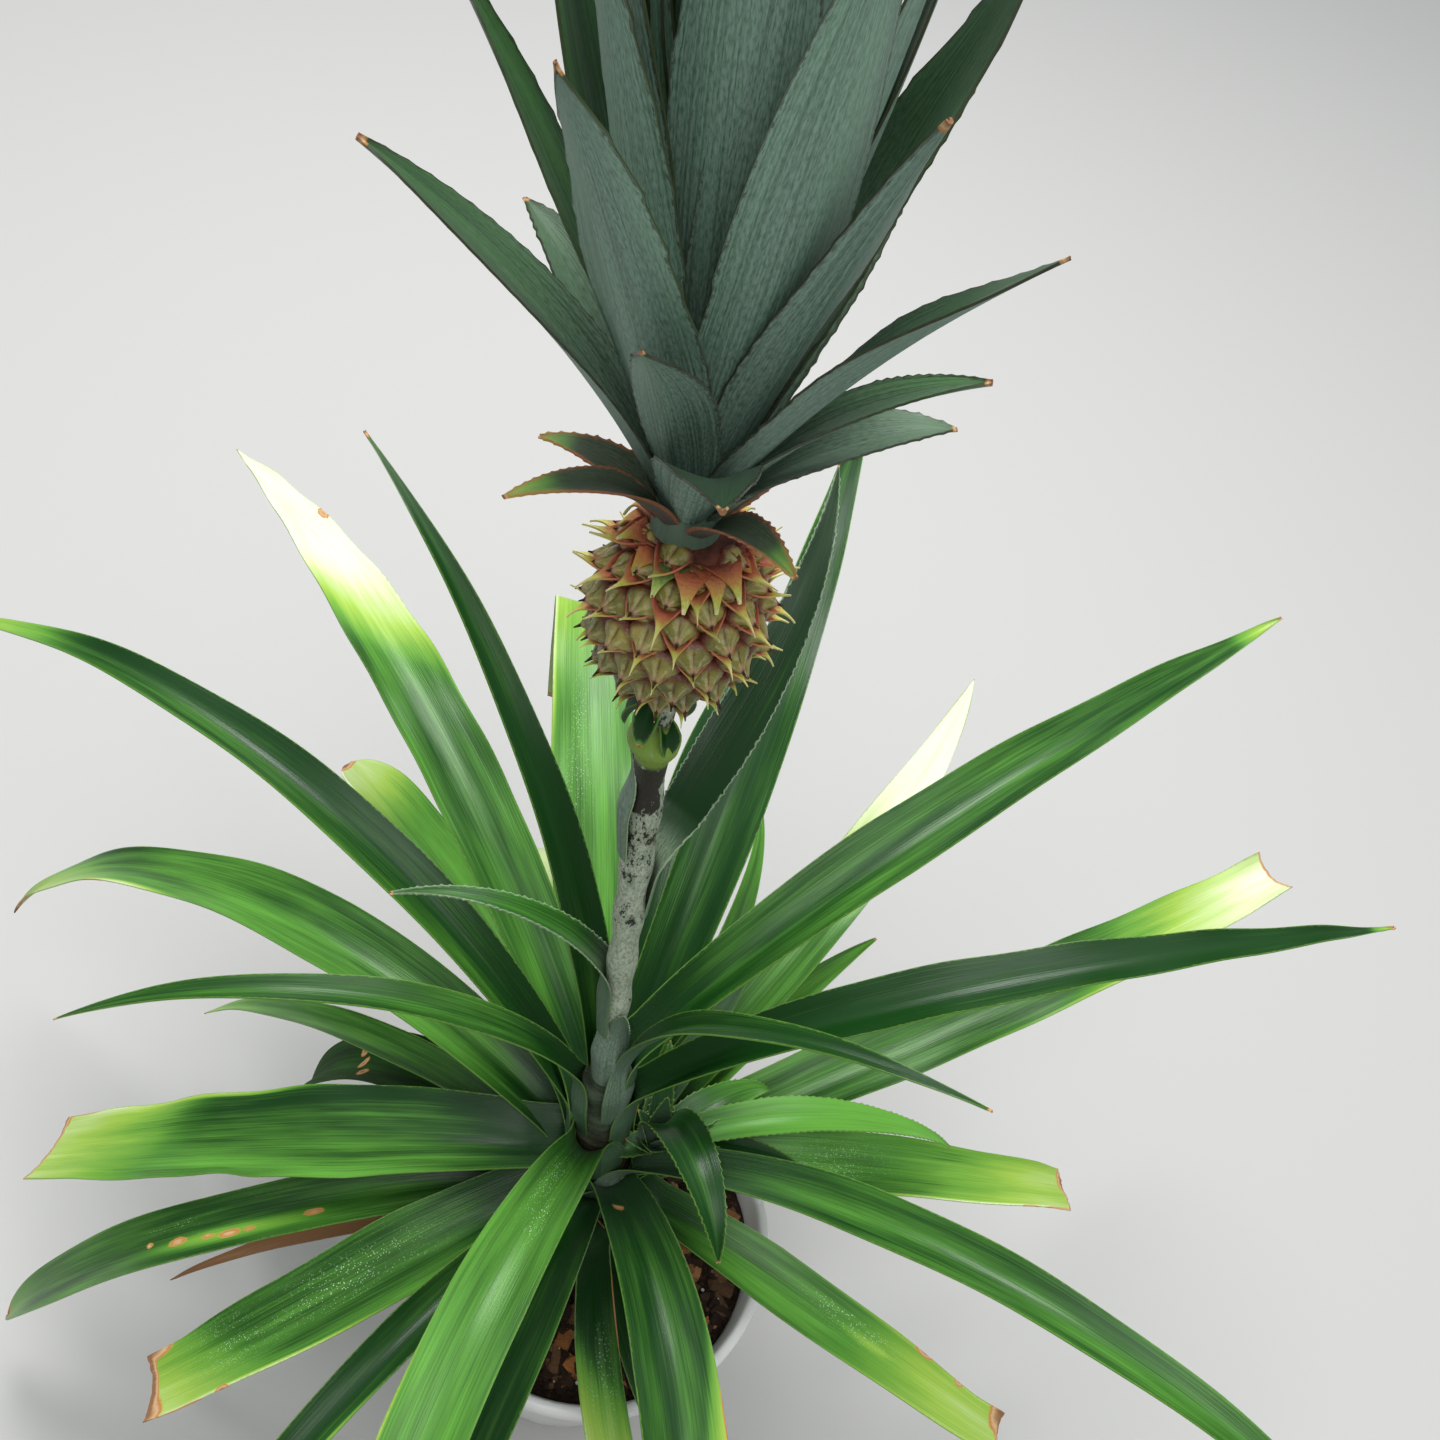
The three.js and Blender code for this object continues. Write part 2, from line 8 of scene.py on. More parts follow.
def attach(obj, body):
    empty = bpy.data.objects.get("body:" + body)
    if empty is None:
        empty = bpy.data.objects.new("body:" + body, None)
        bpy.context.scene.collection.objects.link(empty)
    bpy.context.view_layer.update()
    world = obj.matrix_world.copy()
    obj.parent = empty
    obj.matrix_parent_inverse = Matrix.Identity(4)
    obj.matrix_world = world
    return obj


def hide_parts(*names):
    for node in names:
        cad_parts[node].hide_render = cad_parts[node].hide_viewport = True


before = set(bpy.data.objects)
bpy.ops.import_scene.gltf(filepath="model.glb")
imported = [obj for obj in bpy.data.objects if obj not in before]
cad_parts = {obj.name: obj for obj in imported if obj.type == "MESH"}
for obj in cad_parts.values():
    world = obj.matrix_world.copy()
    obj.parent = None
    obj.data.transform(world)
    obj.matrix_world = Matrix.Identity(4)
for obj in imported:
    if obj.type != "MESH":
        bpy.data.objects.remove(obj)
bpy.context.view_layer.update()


# Pot: a 25 cm round pot of white plastic, moulded thin, with a rolled rim to lift it by and a
# recessed foot with drain holes. It is raised ring by ring from its underside, over the rim and
# down inside to its floor, and the plant and the bark mix stand in it.
POT_HEIGHT = 0.205
POT_RIM_RADIUS = 0.128
POT_FOOT_RADIUS = 0.087
POT_WALL = 0.003
RIM_ROLL = 0.005
POT_SIDES = 96


def clear_selection():
    bpy.ops.object.select_all(action="DESELECT")


def raise_rings(name, rings, sides):
    """Round piece raised from a disc: each ring is its centre and its radius."""
    clear_selection()
    centre, radius = rings[0]
    bpy.ops.mesh.primitive_circle_add(vertices=sides, radius=radius, fill_type="NGON", location=centre)
    piece = bpy.context.object
    piece.name = name
    bpy.ops.object.transform_apply()
    bpy.ops.object.mode_set(mode="EDIT")
    bpy.ops.mesh.select_all(action="SELECT")
    for next_centre, next_radius in rings[1:]:
        step = Vector(next_centre) - Vector(centre)
        bpy.ops.mesh.extrude_region_move(TRANSFORM_OT_translate={"value": step})
        ratio = next_radius / radius
        bpy.ops.transform.resize(value=(ratio, ratio, 1), center_override=next_centre)
        centre, radius = next_centre, next_radius
    bpy.ops.mesh.select_all(action="SELECT")
    bpy.ops.mesh.normals_make_consistent(inside=False)
    bpy.ops.object.mode_set(mode="OBJECT")
    return piece


def pick(*pieces):
    """Selects these pieces alone, the first one active."""
    clear_selection()
    for piece in pieces:
        piece.select_set(True)
    bpy.context.view_layer.objects.active = pieces[0]


def smooth(piece, degrees):
    pick(piece)
    bpy.ops.object.shade_smooth_by_angle(angle=math.radians(degrees))


def apply_modifiers(piece):
    pick(piece)
    for modifier in list(piece.modifiers):
        bpy.ops.object.modifier_apply(modifier=modifier.name)


def around(turn, out, height=0.0):
    """Point at a distance out from the upright axis and at a turn round it."""
    return out * math.cos(turn), out * math.sin(turn), height


def fit(piece, slot, material, *nodes):
    """Gives a piece its finish, its CAD nodes and the body that it rides on."""
    if material:
        piece.data.materials.clear()
        piece.data.materials.append(material)
    if nodes:
        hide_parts(*nodes)
    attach(piece, "root")


def new_finish(name, roughness, specular=0.5):
    """An empty finish: its node tree and its shader."""
    material = bpy.data.materials.new(name)
    material.use_nodes = True
    shader = material.node_tree.nodes["Principled BSDF"]
    shader.inputs["Roughness"].default_value = roughness
    shader.inputs["Specular IOR Level"].default_value = specular
    return material, material.node_tree, shader


def wire(tree, kind, sockets=None, **settings):
    """Adds a node. A socket takes a plain value, or the output that feeds it."""
    node = tree.nodes.new(kind)
    for key, value in settings.items():
        setattr(node, key, value)
    for key, value in (sockets or {}).items():
        if isinstance(value, bpy.types.NodeSocket):
            tree.links.new(value, node.inputs[key])
        else:
            node.inputs[key].default_value = value
    return node.outputs


def feed(tree, shader, **outputs):
    """Links outputs to the shader's sockets; an underscore in a name stands for a space."""
    for key, output in outputs.items():
        tree.links.new(output, shader.inputs[key.replace("_", " ")])


def opaque(shade):
    """Red, green and blue get their alpha. An output stays as it is."""
    return (*shade, 1.0) if isinstance(shade, tuple) else shade


def blend(tree, factor, first, second, how="MIX"):
    sockets = {0: factor, 6: opaque(first), 7: opaque(second)}
    return wire(tree, "ShaderNodeMix", sockets, data_type="RGBA", blend_type=how)[2]


def maths(tree, how, first, *others):
    """One operation over two or more outputs and numbers, in turn."""
    for other in others:
        first = wire(tree, "ShaderNodeMath", {0: first, 1: other}, operation=how)[0]
    return first


def product(tree, *factors):
    return maths(tree, "MULTIPLY", *factors)


def between(tree, value, low, high, out_low=0.0, out_high=1.0):
    """Smooth step from out_low to out_high as value goes from low to high."""
    sockets = {0: value, 1: low, 2: high, 3: out_low, 4: out_high}
    return wire(tree, "ShaderNodeMapRange", sockets, interpolation_type="SMOOTHSTEP")[0]


def grain(tree, vector, scale, detail=3.0, roughness=0.5):
    sockets = {"Vector": vector, "Scale": scale, "Detail": detail, "Roughness": roughness}
    return wire(tree, "ShaderNodeTexNoise", sockets)[0]


def relief(tree, height, distance):
    """Bump of a real depth in metres."""
    return wire(tree, "ShaderNodeBump", {"Height": height, "Distance": distance})[0]


def place(tree):
    return wire(tree, "ShaderNodeTexCoord")["Object"]


def axes(tree, where):
    return wire(tree, "ShaderNodeSeparateXYZ", {0: where})


def pot_inside(height):
    slope = (POT_RIM_RADIUS - RIM_ROLL - POT_FOOT_RADIUS) / POT_HEIGHT
    return POT_FOOT_RADIUS + slope * height - POT_WALL


def pot_outside(height):
    return pot_inside(height) + POT_WALL


# Outline of the wall as (radius, height): the foot, up outside, the rolled rim, down inside.
POT_OUTLINE = [
    (0.070, 0.004), (0.0745, 0.0035), (0.0765, 0.0012), (0.078, 0.0), (0.0845, 0.0), (0.0865, 0.0012),
    (0.0872, 0.004), (0.0885, 0.010), (pot_outside(0.03), 0.03), (pot_outside(0.09), 0.09),
    (pot_outside(0.15), 0.15), (pot_outside(0.182), 0.182), (pot_outside(0.188), 0.188),
    (0.1215, 0.1895), (0.1252, 0.1900), (0.1268, 0.1908), (0.1277, 0.1926), (0.1280, 0.195),
    (0.1280, 0.2005), (0.1277, 0.2025), (0.1268, 0.2042), (0.1252, 0.2050), (0.1230, 0.2050),
    (0.1214, 0.2043), (0.1205, 0.2028), (pot_inside(0.200), 0.200), (pot_inside(0.17), 0.17),
    (pot_inside(0.09), 0.09), (pot_inside(0.012), 0.012), (0.080, 0.0075), (0.070, 0.007),
]
pot = raise_rings("pot_shell", [((0, 0, height), radius) for radius, height in POT_OUTLINE], POT_SIDES)

DRAIN_HOLES = 6
DRAIN_RING = 0.047
DRAIN_RADIUS = 0.0065
FLOOR_MIDDLE = 0.0055
for i in range(DRAIN_HOLES):
    clear_selection()
    hole_place = around(math.tau * i / DRAIN_HOLES, DRAIN_RING, FLOOR_MIDDLE)
    bpy.ops.mesh.primitive_cylinder_add(vertices=20, radius=DRAIN_RADIUS, depth=0.02, location=hole_place)
    drill = bpy.context.object
    cut = pot.modifiers.new("drain hole", "BOOLEAN")
    cut.object = drill
    cut.operation = "DIFFERENCE"
    cut.solver = "EXACT"
    apply_modifiers(pot)
    bpy.data.objects.remove(drill)
smooth(pot, 40)

pot_plastic, tree, shader = new_finish("white pot plastic", 0.34)
where = place(tree)
broad = grain(tree, where, 9.0, 4.0, 0.6)
fine = grain(tree, where, 160.0, 5.0, 0.65)
height = axes(tree, where)["Z"]
splash = product(tree, between(tree, height, 0.05, 0.0), between(tree, fine, 0.45, 0.62), 0.6)
grime = maths(tree, "MAXIMUM", splash, product(tree, between(tree, broad, 0.48, 0.75), 0.35))
white = blend(tree, broad, (0.80, 0.79, 0.78), (0.72, 0.72, 0.71))
feed(tree, shader, Base_Color=blend(tree, grime, white, (0.42, 0.38, 0.32)),
     Roughness=between(tree, grime, 0.0, 0.6, 0.30, 0.62),
     Normal=relief(tree, fine, 0.00018))
fit(pot, "pot_plastic", pot_plastic, "pot")


# Bark mix: chips of bark, a few burnt orange ones, and grains of perlite, on a bed of fine dark
# humus that fills the pot to 2 cm under its rim. The bed is raised as a plug and its top is
# pressed into lumps; chips and grains are modelled once each and strewn over it.
SOIL_TOP = 0.181
SOIL_GAP = 0.0006
LUMP_HEIGHT = 0.0035
CRUMB_HEIGHT = 0.0022
BED_RINGS = 26
BED_SIDES = 90
STEM_HOLE = 0.024
STEM_ROOM = 0.006
CHIP_COUNT = 760
CHIP_LENGTHS = (0.005, 0.018)
GRAIN_COUNT = 150
GRAIN_WIDTHS = (0.0022, 0.0060)

bed_edge = pot_inside(SOIL_TOP) - SOIL_GAP
bed_outline = [(0.068, 0.0080), (pot_inside(0.013) - SOIL_GAP, 0.0125), (bed_edge, SOIL_TOP)]
for ring in range(1, BED_RINGS):
    bed_outline.append((bed_edge + (STEM_HOLE - bed_edge) * ring / (BED_RINGS - 1), SOIL_TOP))
bed = raise_rings("bark_mix_bed", [((0, 0, height), radius) for radius, height in bed_outline], BED_SIDES)


def soil_height(x, y):
    """Top of the bed, in lumps a few millimetres high."""
    coarse = noise.noise(Vector((x * 22, y * 22, 1.7)))
    small = noise.noise(Vector((x * 75, y * 75, 5.1)))
    return SOIL_TOP + LUMP_HEIGHT * coarse + CRUMB_HEIGHT * small


for vertex in bed.data.vertices:
    if vertex.co.z > SOIL_TOP - 0.001:
        vertex.co.z = soil_height(vertex.co.x, vertex.co.y)
smooth(bed, 180)


def ramp(tree, factor, *stops):
    """Colour ramp with stops of (position, red, green, blue)."""
    outputs = wire(tree, "ShaderNodeValToRGB", {0: factor})
    elements = outputs[0].node.color_ramp.elements
    while len(elements) < len(stops):
        elements.new(1.0)
    for element, (position, *shade) in zip(elements, stops):
        element.position = position
        element.color = (*shade, 1.0)
    return outputs[0]


humus, tree, shader = new_finish("dark humus", 0.95, 0.2)
where = place(tree)
crumbs = grain(tree, where, 420.0, 6.0, 0.7)
earth = ramp(tree, crumbs, (0.30, 0.006, 0.004, 0.003), (0.55, 0.028, 0.015, 0.009),
             (0.72, 0.10, 0.052, 0.026))
feed(tree, shader, Base_Color=earth, Normal=relief(tree, crumbs, 0.002))
fit(bed, "bark_mix", humus, "soil")

rng = np.random.default_rng(7)


def set_marks(mesh, marks):
    """Stores, under each name, a number for each point of the mesh."""
    for key, values in marks.items():
        rows = mesh.attributes.new(key, "FLOAT", "POINT")
        rows.data.foreach_set("value", np.asarray(values, np.float32))


def strew(name, templates, places, tones):
    """One joined mesh of copies of the templates, each at its own 4 by 4 place with its own tone."""
    points, faces, start = [], [], 0
    marks = {key: [] for key in ("tone", *templates[0]["marks"])}
    for i, (matrix, tone) in enumerate(zip(places, tones)):
        body = templates[i % len(templates)]
        matrix = np.array(matrix)
        points.append(body["points"] @ matrix[:3, :3].T + matrix[:3, 3])
        faces += [tuple(start + v for v in face) for face in body["faces"]]
        start += len(body["points"])
        for key, rows in marks.items():
            rows.append(np.full(len(body["points"]), tone) if key == "tone" else body["marks"][key])
    mesh = bpy.data.meshes.new(name)
    mesh.from_pydata(np.concatenate(points).tolist(), [], faces)
    piece = bpy.data.objects.new(name, mesh)
    bpy.context.scene.collection.objects.link(piece)
    set_marks(mesh, {key: np.concatenate(rows) for key, rows in marks.items()})
    mesh.update()
    return piece


def take_template(piece, marks=()):
    """The active mesh as plain arrays for strewing; the piece itself is removed."""
    mesh = piece.data
    points = np.array([v.co for v in mesh.vertices])
    kept = {}
    for key in marks:
        kept[key] = np.array([v.value for v in mesh.attributes[key].data])
    template = {"points": points, "faces": [tuple(f.vertices) for f in mesh.polygons], "marks": kept}
    bpy.data.objects.remove(piece)
    return template


def knocked_about(offset, uniform, seed, cuts=0):
    """The new primitive as a template, with its points knocked out of place."""
    bpy.ops.object.mode_set(mode="EDIT")
    bpy.ops.mesh.select_all(action="SELECT")
    if cuts:
        bpy.ops.mesh.subdivide(number_cuts=cuts)
    bpy.ops.transform.vertex_random(offset=offset, uniform=uniform, seed=seed)
    bpy.ops.object.mode_set(mode="OBJECT")
    return take_template(bpy.context.object)


def broken_chip(seed, flatness):
    clear_selection()
    bpy.ops.mesh.primitive_cube_add(size=1)
    bpy.context.object.scale = (1.0, 0.62, flatness)
    bpy.ops.object.transform_apply()
    return knocked_about(0.16, 0.4, seed, cuts=1)


def random_out(margin):
    """Random distance from the axis, between the stem and a margin inside the pot."""
    inner = STEM_HOLE + STEM_ROOM
    return inner + (bed_edge - margin - inner) * math.sqrt(rng.random())


def random_size(sizes, power):
    return sizes[0] + (sizes[1] - sizes[0]) * rng.random() ** power


def set_down(x, y, lift, turns, size):
    """4 by 4 place of a piece laid on the bed, with its turns about X, Y and Z."""
    return Matrix.LocRotScale(Vector((x, y, soil_height(x, y) + lift)), Euler(turns), Vector(size))


chip_templates = [broken_chip(i + 1, flatness) for i, flatness in enumerate((0.22, 0.34, 0.26, 0.45))]
chip_places, chip_tones = [], []
for i in range(CHIP_COUNT):
    out = random_out(0.007)
    x, y, _ = around(rng.random() * math.tau, out)
    room = min(random_size(CHIP_LENGTHS, 2.2), 2 * (bed_edge - out))
    tilt = rng.normal(0, 0.35, 2)
    lift = 0.0012 + 0.0012 * rng.random()
    chip_places.append(set_down(x, y, lift, (*tilt, rng.random() * 6.3), (room, room, room)))
    chip_tones.append(rng.random())
chips = strew("bark_chips", chip_templates, chip_places, chip_tones)


def stretch(tree, where, *scale):
    return wire(tree, "ShaderNodeMapping", {"Vector": where, "Scale": scale})[0]


def mark(tree, name):
    return wire(tree, "ShaderNodeAttribute", attribute_name=name)["Fac"]


bark_chip, tree, shader = new_finish("bark chip", 0.85, 0.3)
fibres = grain(tree, stretch(tree, place(tree), 1.0, 3.0, 1.0), 260.0, 5.0, 0.7)
bark = ramp(tree, mark(tree, "tone"), (0.0, 0.020, 0.010, 0.006), (0.45, 0.060, 0.030, 0.015),
            (0.78, 0.16, 0.085, 0.042), (0.92, 0.45, 0.17, 0.045), (1.0, 0.30, 0.22, 0.15))
shade = ramp(tree, fibres, (0.3, 0.25, 0.2, 0.16), (0.65, 1.0, 1.0, 1.0))
feed(tree, shader, Base_Color=blend(tree, 0.55, bark, shade, "MULTIPLY"), Normal=relief(tree, fibres, 0.0012))
fit(chips, "bark_mix", bark_chip)

clear_selection()
bpy.ops.mesh.primitive_ico_sphere_add(subdivisions=2, radius=0.5)
grain_templates = [knocked_about(0.09, 0.3, 11)]
grain_places, grain_tones = [], []
for i in range(GRAIN_COUNT):
    out = random_out(0.006)
    x, y, _ = around(rng.random() * math.tau, out)
    wide = random_size(GRAIN_WIDTHS, 2)
    grain_places.append(set_down(x, y, 0.0028, rng.random(3) * 6.3, (wide, wide * 0.8, wide * 0.7)))
    grain_tones.append(rng.random())
perlite_grains = strew("perlite_grains", grain_templates, grain_places, grain_tones)
smooth(perlite_grains, 50)

perlite, tree, shader = new_finish("perlite grain", 0.9, 0.3)
chalky = ramp(tree, mark(tree, "tone"), (0.0, 0.36, 0.27, 0.18), (0.6, 0.55, 0.50, 0.42),
              (1.0, 0.75, 0.73, 0.69))
pits = grain(tree, place(tree), 1500.0, 3.0, 0.6)
feed(tree, shader, Base_Color=chalky, Normal=relief(tree, pits, 0.0006))
fit(perlite_grains, "bark_mix", perlite)


# Stem: short, fleshy and grown leaning to the left, ringed where old leaves came away, with a
# flare at its foot. It is raised ring by ring along its leaning centre line, and draws in at the
# top, where the stalk goes on.
STEM_FOOT = 0.185
STEM_TOP = 0.446
STEM_FOOT_RADIUS = 0.026
STEM_TOP_RADIUS = 0.013
STEM_FLARE = 0.006
STEM_RINGS = 105
STEM_SINK = 0.006
SCAR_HEIGHT = 0.0009
NECK_FOOT = 0.424
HEART_HEIGHT = 0.430
HEART_LEAN = 0.020
FRUIT_BASE = 0.794
FRUIT_LEAN = 0.020


def lean_at(height):
    """How far to the left the centre line of stem and stalk has leaned at a height."""
    low = -HEART_LEAN * (height - STEM_FOOT) / (HEART_HEIGHT - STEM_FOOT)
    high = -HEART_LEAN - FRUIT_LEAN * (height - HEART_HEIGHT) / (FRUIT_BASE - HEART_HEIGHT)
    return np.where(np.asarray(height) < HEART_HEIGHT, low, high)


def axis_point(height):
    return Vector((float(lean_at(height)), 0.0, height))


def stem_radius(height):
    up = min(max((height - STEM_FOOT) / (STEM_TOP - STEM_FOOT), 0.0), 1.0)
    flare = STEM_FLARE * math.exp(-(height - STEM_FOOT) / 0.014)
    return STEM_FOOT_RADIUS + (STEM_TOP_RADIUS - STEM_FOOT_RADIUS) * up + flare


def make_lumpy(piece, amount, across, along):
    """Swells and pinches a limb by a share of its radius, in lumps set across and along it."""
    for vertex in piece.data.vertices:
        x, y, z = vertex.co
        lump = noise.noise(Vector((x * across, y * across, z * along)))
        vertex.co += (vertex.co - axis_point(z)) * amount * lump


stem_rings = []
for row in range(STEM_RINGS):
    height = STEM_FOOT - STEM_SINK + (STEM_TOP + STEM_SINK - STEM_FOOT) * row / (STEM_RINGS - 1)
    ring_scar = SCAR_HEIGHT * math.sin(height / 0.0045) ** 3
    drawn_in = 0.0055 * max((height - NECK_FOOT) / (STEM_TOP - NECK_FOOT), 0.0) ** 1.5
    stem_rings.append((axis_point(height), stem_radius(max(height, STEM_FOOT)) + ring_scar - drawn_in))
stem = raise_rings("stem_core", stem_rings, 48)
make_lumpy(stem, 0.06, 60, 60)
smooth(stem, 60)

stem_bark, tree, shader = new_finish("ringed stem", 0.8, 0.3)
where = place(tree)
height = axes(tree, where)["Z"]
flat_place = stretch(tree, where, 1.0, 1.0, 4.0)
mottle = grain(tree, flat_place, 45.0, 5.0, 0.6)
fine = grain(tree, flat_place, 300.0, 4.0, 0.6)
old = ramp(tree, mottle, (0.30, 0.030, 0.018, 0.010), (0.50, 0.085, 0.060, 0.032),
           (0.70, 0.16, 0.15, 0.075))
young = ramp(tree, mottle, (0.30, 0.020, 0.030, 0.014), (0.70, 0.10, 0.14, 0.085))
skin = blend(tree, between(tree, height, 0.34, 0.41), old, young)
shade = ramp(tree, fine, (0.3, 0.3, 0.25, 0.2), (0.7, 1.0, 1.0, 1.0))
feed(tree, shader, Base_Color=blend(tree, 0.4, skin, shade, "MULTIPLY"), Normal=relief(tree, fine, 0.0012))
fit(stem, "stem", stem_bark, "stem")


# Rosette: thirty-five stiff sword leaves in a close spiral, each a shallow channel with a waxy
# skin and a silvery back, on a broad mealy base that clasps the stem. Old ones fade to lime and
# cream from the end, and some were cut across or died back. Each is bent from a flat grid.
FOOT_SINK = 0.003
CREASE_DROP = 86.0
CREASE_SHARE = 0.07
MIDRIB_STEPS = 240
BLADE_ROWS = 136
BLADE_COLUMNS = 18
RIB_THICKNESS = 0.0026
EDGE_THICKNESS = 0.0008
RIDGE_PITCH = 0.0135
RIDGE_HEIGHT = 0.00025
WAVE_HEIGHT = 0.0016
WAVE_LENGTH = 0.12
CHANNEL_SOFTNESS = 0.3
GUTTER_LENGTH = 0.06
TOOTH_DEPTH = 0.0010
RAGGED_DEPTH = 0.0009
SHEATH_FLARE = 0.0050
SHEATH_GAP = 0.0006
FADE_SLANT = 0.13
MARGIN_WIDTH = 0.0026
# Painted shade at each leaf's foot: how much darker, and how far up it reaches.
FOOT_SHADE = 0.45
FOOT_SHADE_END = 0.11

# What a leaf has unless its own row says otherwise.
# bend: above 1 keeps the bend for the outer part; sweep: sideways turn; crease: share where it
# folds over; fold and gutter: depth of the channel, and more at its foot; full: share up to which
# it keeps its width; clasp: where the base leaves the limb; sheath: how far down it hugs it.
# teeth: pitch of the hooks on the margin; pinches: narrow places of (share, side, depth); square:
# how square a blunt end is; skew and curl: slant and curl of an end that was cut across.
# tone: 0 dark to 1 bright; fade: shares of the length where it starts to yellow and is through,
# and bleach how far; side: the edge that fades first; edge: how far the margins yellow; brown:
# share of the end that is dead; chalk: mealy bloom at the base, up to bloom; bright: how much one
# side is painted lighter where it catches the light, which is painted light; shaded: takes the
# darker, duller skin, which is painted shade.
# scars, pale and dew: dry, faded and dewy spots of (share, across, length, width, depth).
PLAIN_LEAF = dict(
    bend=1.0, sweep=0.0, crease=None, tip="pointed", full=0.3, square=2.6, fold=20.0, gutter=24.0,
    clasp=(0.0, 0.034), sheath=0.030, teeth=None, pinches=(), skew=0.0, curl=0.004,
    tone=0.3, bright=0.0, fade=(1.2, 1.5), bleach=0.6, side=0.0, edge=0.0, brown=0.006,
    chalk=0.28, bloom=0.07, dead=False, shaded=False, scars=(), pale=(), dew=())


def smooth_step(value, low, high):
    share = np.clip((value - low) / (high - low), 0.0, 1.0)
    return share * share * (3 - 2 * share)


def chance(index, salt):
    """Repeatable scatter between -1 and 1 for the index-th piece."""
    wave = math.sin(index * 12.9898 + salt * 78.233) * 43758.5453
    return 2 * (wave - math.floor(wave)) - 1


def blade_direction(leaf, share):
    """Along, side and up of the midrib. The slope runs from rise to fall, or drops at a crease."""
    slope = leaf["rise"] + (leaf["fall"] - leaf["rise"]) * share ** leaf["bend"]
    if leaf["crease"]:
        slope = slope - CREASE_DROP * smooth_step(share, leaf["crease"], leaf["crease"] + CREASE_SHARE)
    slope = np.radians(slope)
    heading = np.radians(leaf["bearing"] + leaf["sweep"] * share ** 1.5)
    ahead = np.column_stack([np.cos(heading), np.sin(heading), np.zeros_like(heading)])
    side = np.column_stack([-np.sin(heading), np.cos(heading), np.zeros_like(heading)])
    along = ahead * np.cos(slope)[:, None] + np.outer(np.sin(slope), (0, 0, 1))
    return along, side, np.cross(along, side)


def midrib(leaf, foot, share):
    """Points on the midrib, with along, side and up, at each share of its length."""
    middles = (np.arange(MIDRIB_STEPS) + 0.5) / MIDRIB_STEPS
    steps = blade_direction(leaf, middles)[0] * leaf["length"] / MIDRIB_STEPS
    points = np.array(foot) + np.vstack([np.zeros(3), np.cumsum(steps, axis=0)])
    knots = np.linspace(0.0, 1.0, MIDRIB_STEPS + 1)
    at = np.column_stack([np.interp(share, knots, points[:, axis]) for axis in range(3)])
    return at, *blade_direction(leaf, share)


def half_width(leaf, share):
    """Half the leaf's width, with its three kinds of end: pointed, blunt, or cut across."""
    base = 0.62 + 0.38 * np.clip(share / 0.35, 0, 1) ** 0.7
    full = leaf["full"]
    rounded = 1 - np.clip((share - 0.55) / 0.45, 0, 1) ** leaf["square"]
    end = {
        "pointed": 1 - np.clip((share - full) / (1 - full), 0, 1) ** 1.6,
        "blunt": np.sqrt(np.maximum(rounded, 0)),
        "cut": 1 - 0.3 * np.clip((share - 0.4) / 0.6, 0, 1) ** 1.5,
    }[leaf["tip"]]
    return leaf["width"] / 2 * base * end + 0.0004


def near(leaf, share, across, half, spot):
    """Soft round patch: 1 in the middle of a spot of (share, across, length, width, depth)."""
    away = ((share - spot[0]) * leaf["length"] / spot[2]) ** 2 + ((across - spot[1]) * half / spot[3]) ** 2
    return spot[4] * np.exp(-away)


def leaf_marks(leaf, reach, across, half):
    """Where a leaf has faded, dried, lost its bloom or caught dew, from 0 to 1 at each point."""
    share = np.maximum(reach, 0) / leaf["length"]
    start, full = leaf["fade"]
    shift = FADE_SLANT * leaf["side"] * across
    fade = leaf["bleach"] * smooth_step(share + shift, start, full)
    inset = (1 - np.abs(across)) * half
    edge_side = 1 + np.sign(leaf["side"] * across)
    margin = leaf["edge"] * edge_side * (1 - smooth_step(inset, 0.0, MARGIN_WIDTH))
    fade = np.maximum(fade, margin * smooth_step(share, 0.3, 0.7))
    for spot in leaf["pale"]:
        fade = np.maximum(fade, near(leaf, share, across, half, spot))
    brown = leaf["brown"]
    dry = smooth_step(share, 1 - 2.2 * brown, 1 - 0.4 * brown)
    for spot in leaf["scars"]:
        dry = np.maximum(dry, near(leaf, share, across, half, spot))
    if leaf["dead"]:
        dry = np.ones_like(share)
    dew = np.zeros_like(share)
    for spot in leaf["dew"]:
        dew = np.maximum(dew, near(leaf, share, across, half, spot))
    chalk = leaf["chalk"] * (1 - smooth_step(reach, 0.012, leaf["bloom"]))
    # Painted light: bright makes one side of the leaf lighter, where it catches the light.
    tone = leaf["tone"] + 0.25 * np.clip(across * leaf["bright"], -1, 1)
    # Painted shade: the tone darkens towards the foot, where the leaves crowd round the heart.
    tone = tone - FOOT_SHADE * (1 - smooth_step(reach, 0.0, FOOT_SHADE_END))
    return {"fade": fade, "dry": dry, "inset": inset, "chalk": chalk, "dew": dew, "tone": tone + 0 * share}


def lay_sheath(leaf, limb_radius, reach, across):
    """The broad base that hugs the limb below the foot, and flares a little as it rises."""
    height = leaf["seat"] + reach
    sheath, free = leaf["sheath"], leaf["clasp"][1]
    radius = limb_radius + SHEATH_GAP + SHEATH_FLARE * np.clip((reach + sheath) / (free + sheath), 0, 1)
    wrap = min(1.35, 0.65 * leaf["width"] / limb_radius)
    turn = math.radians(leaf["bearing"]) + wrap * across
    return np.column_stack([lean_at(height) + radius * np.cos(turn), radius * np.sin(turn), height])


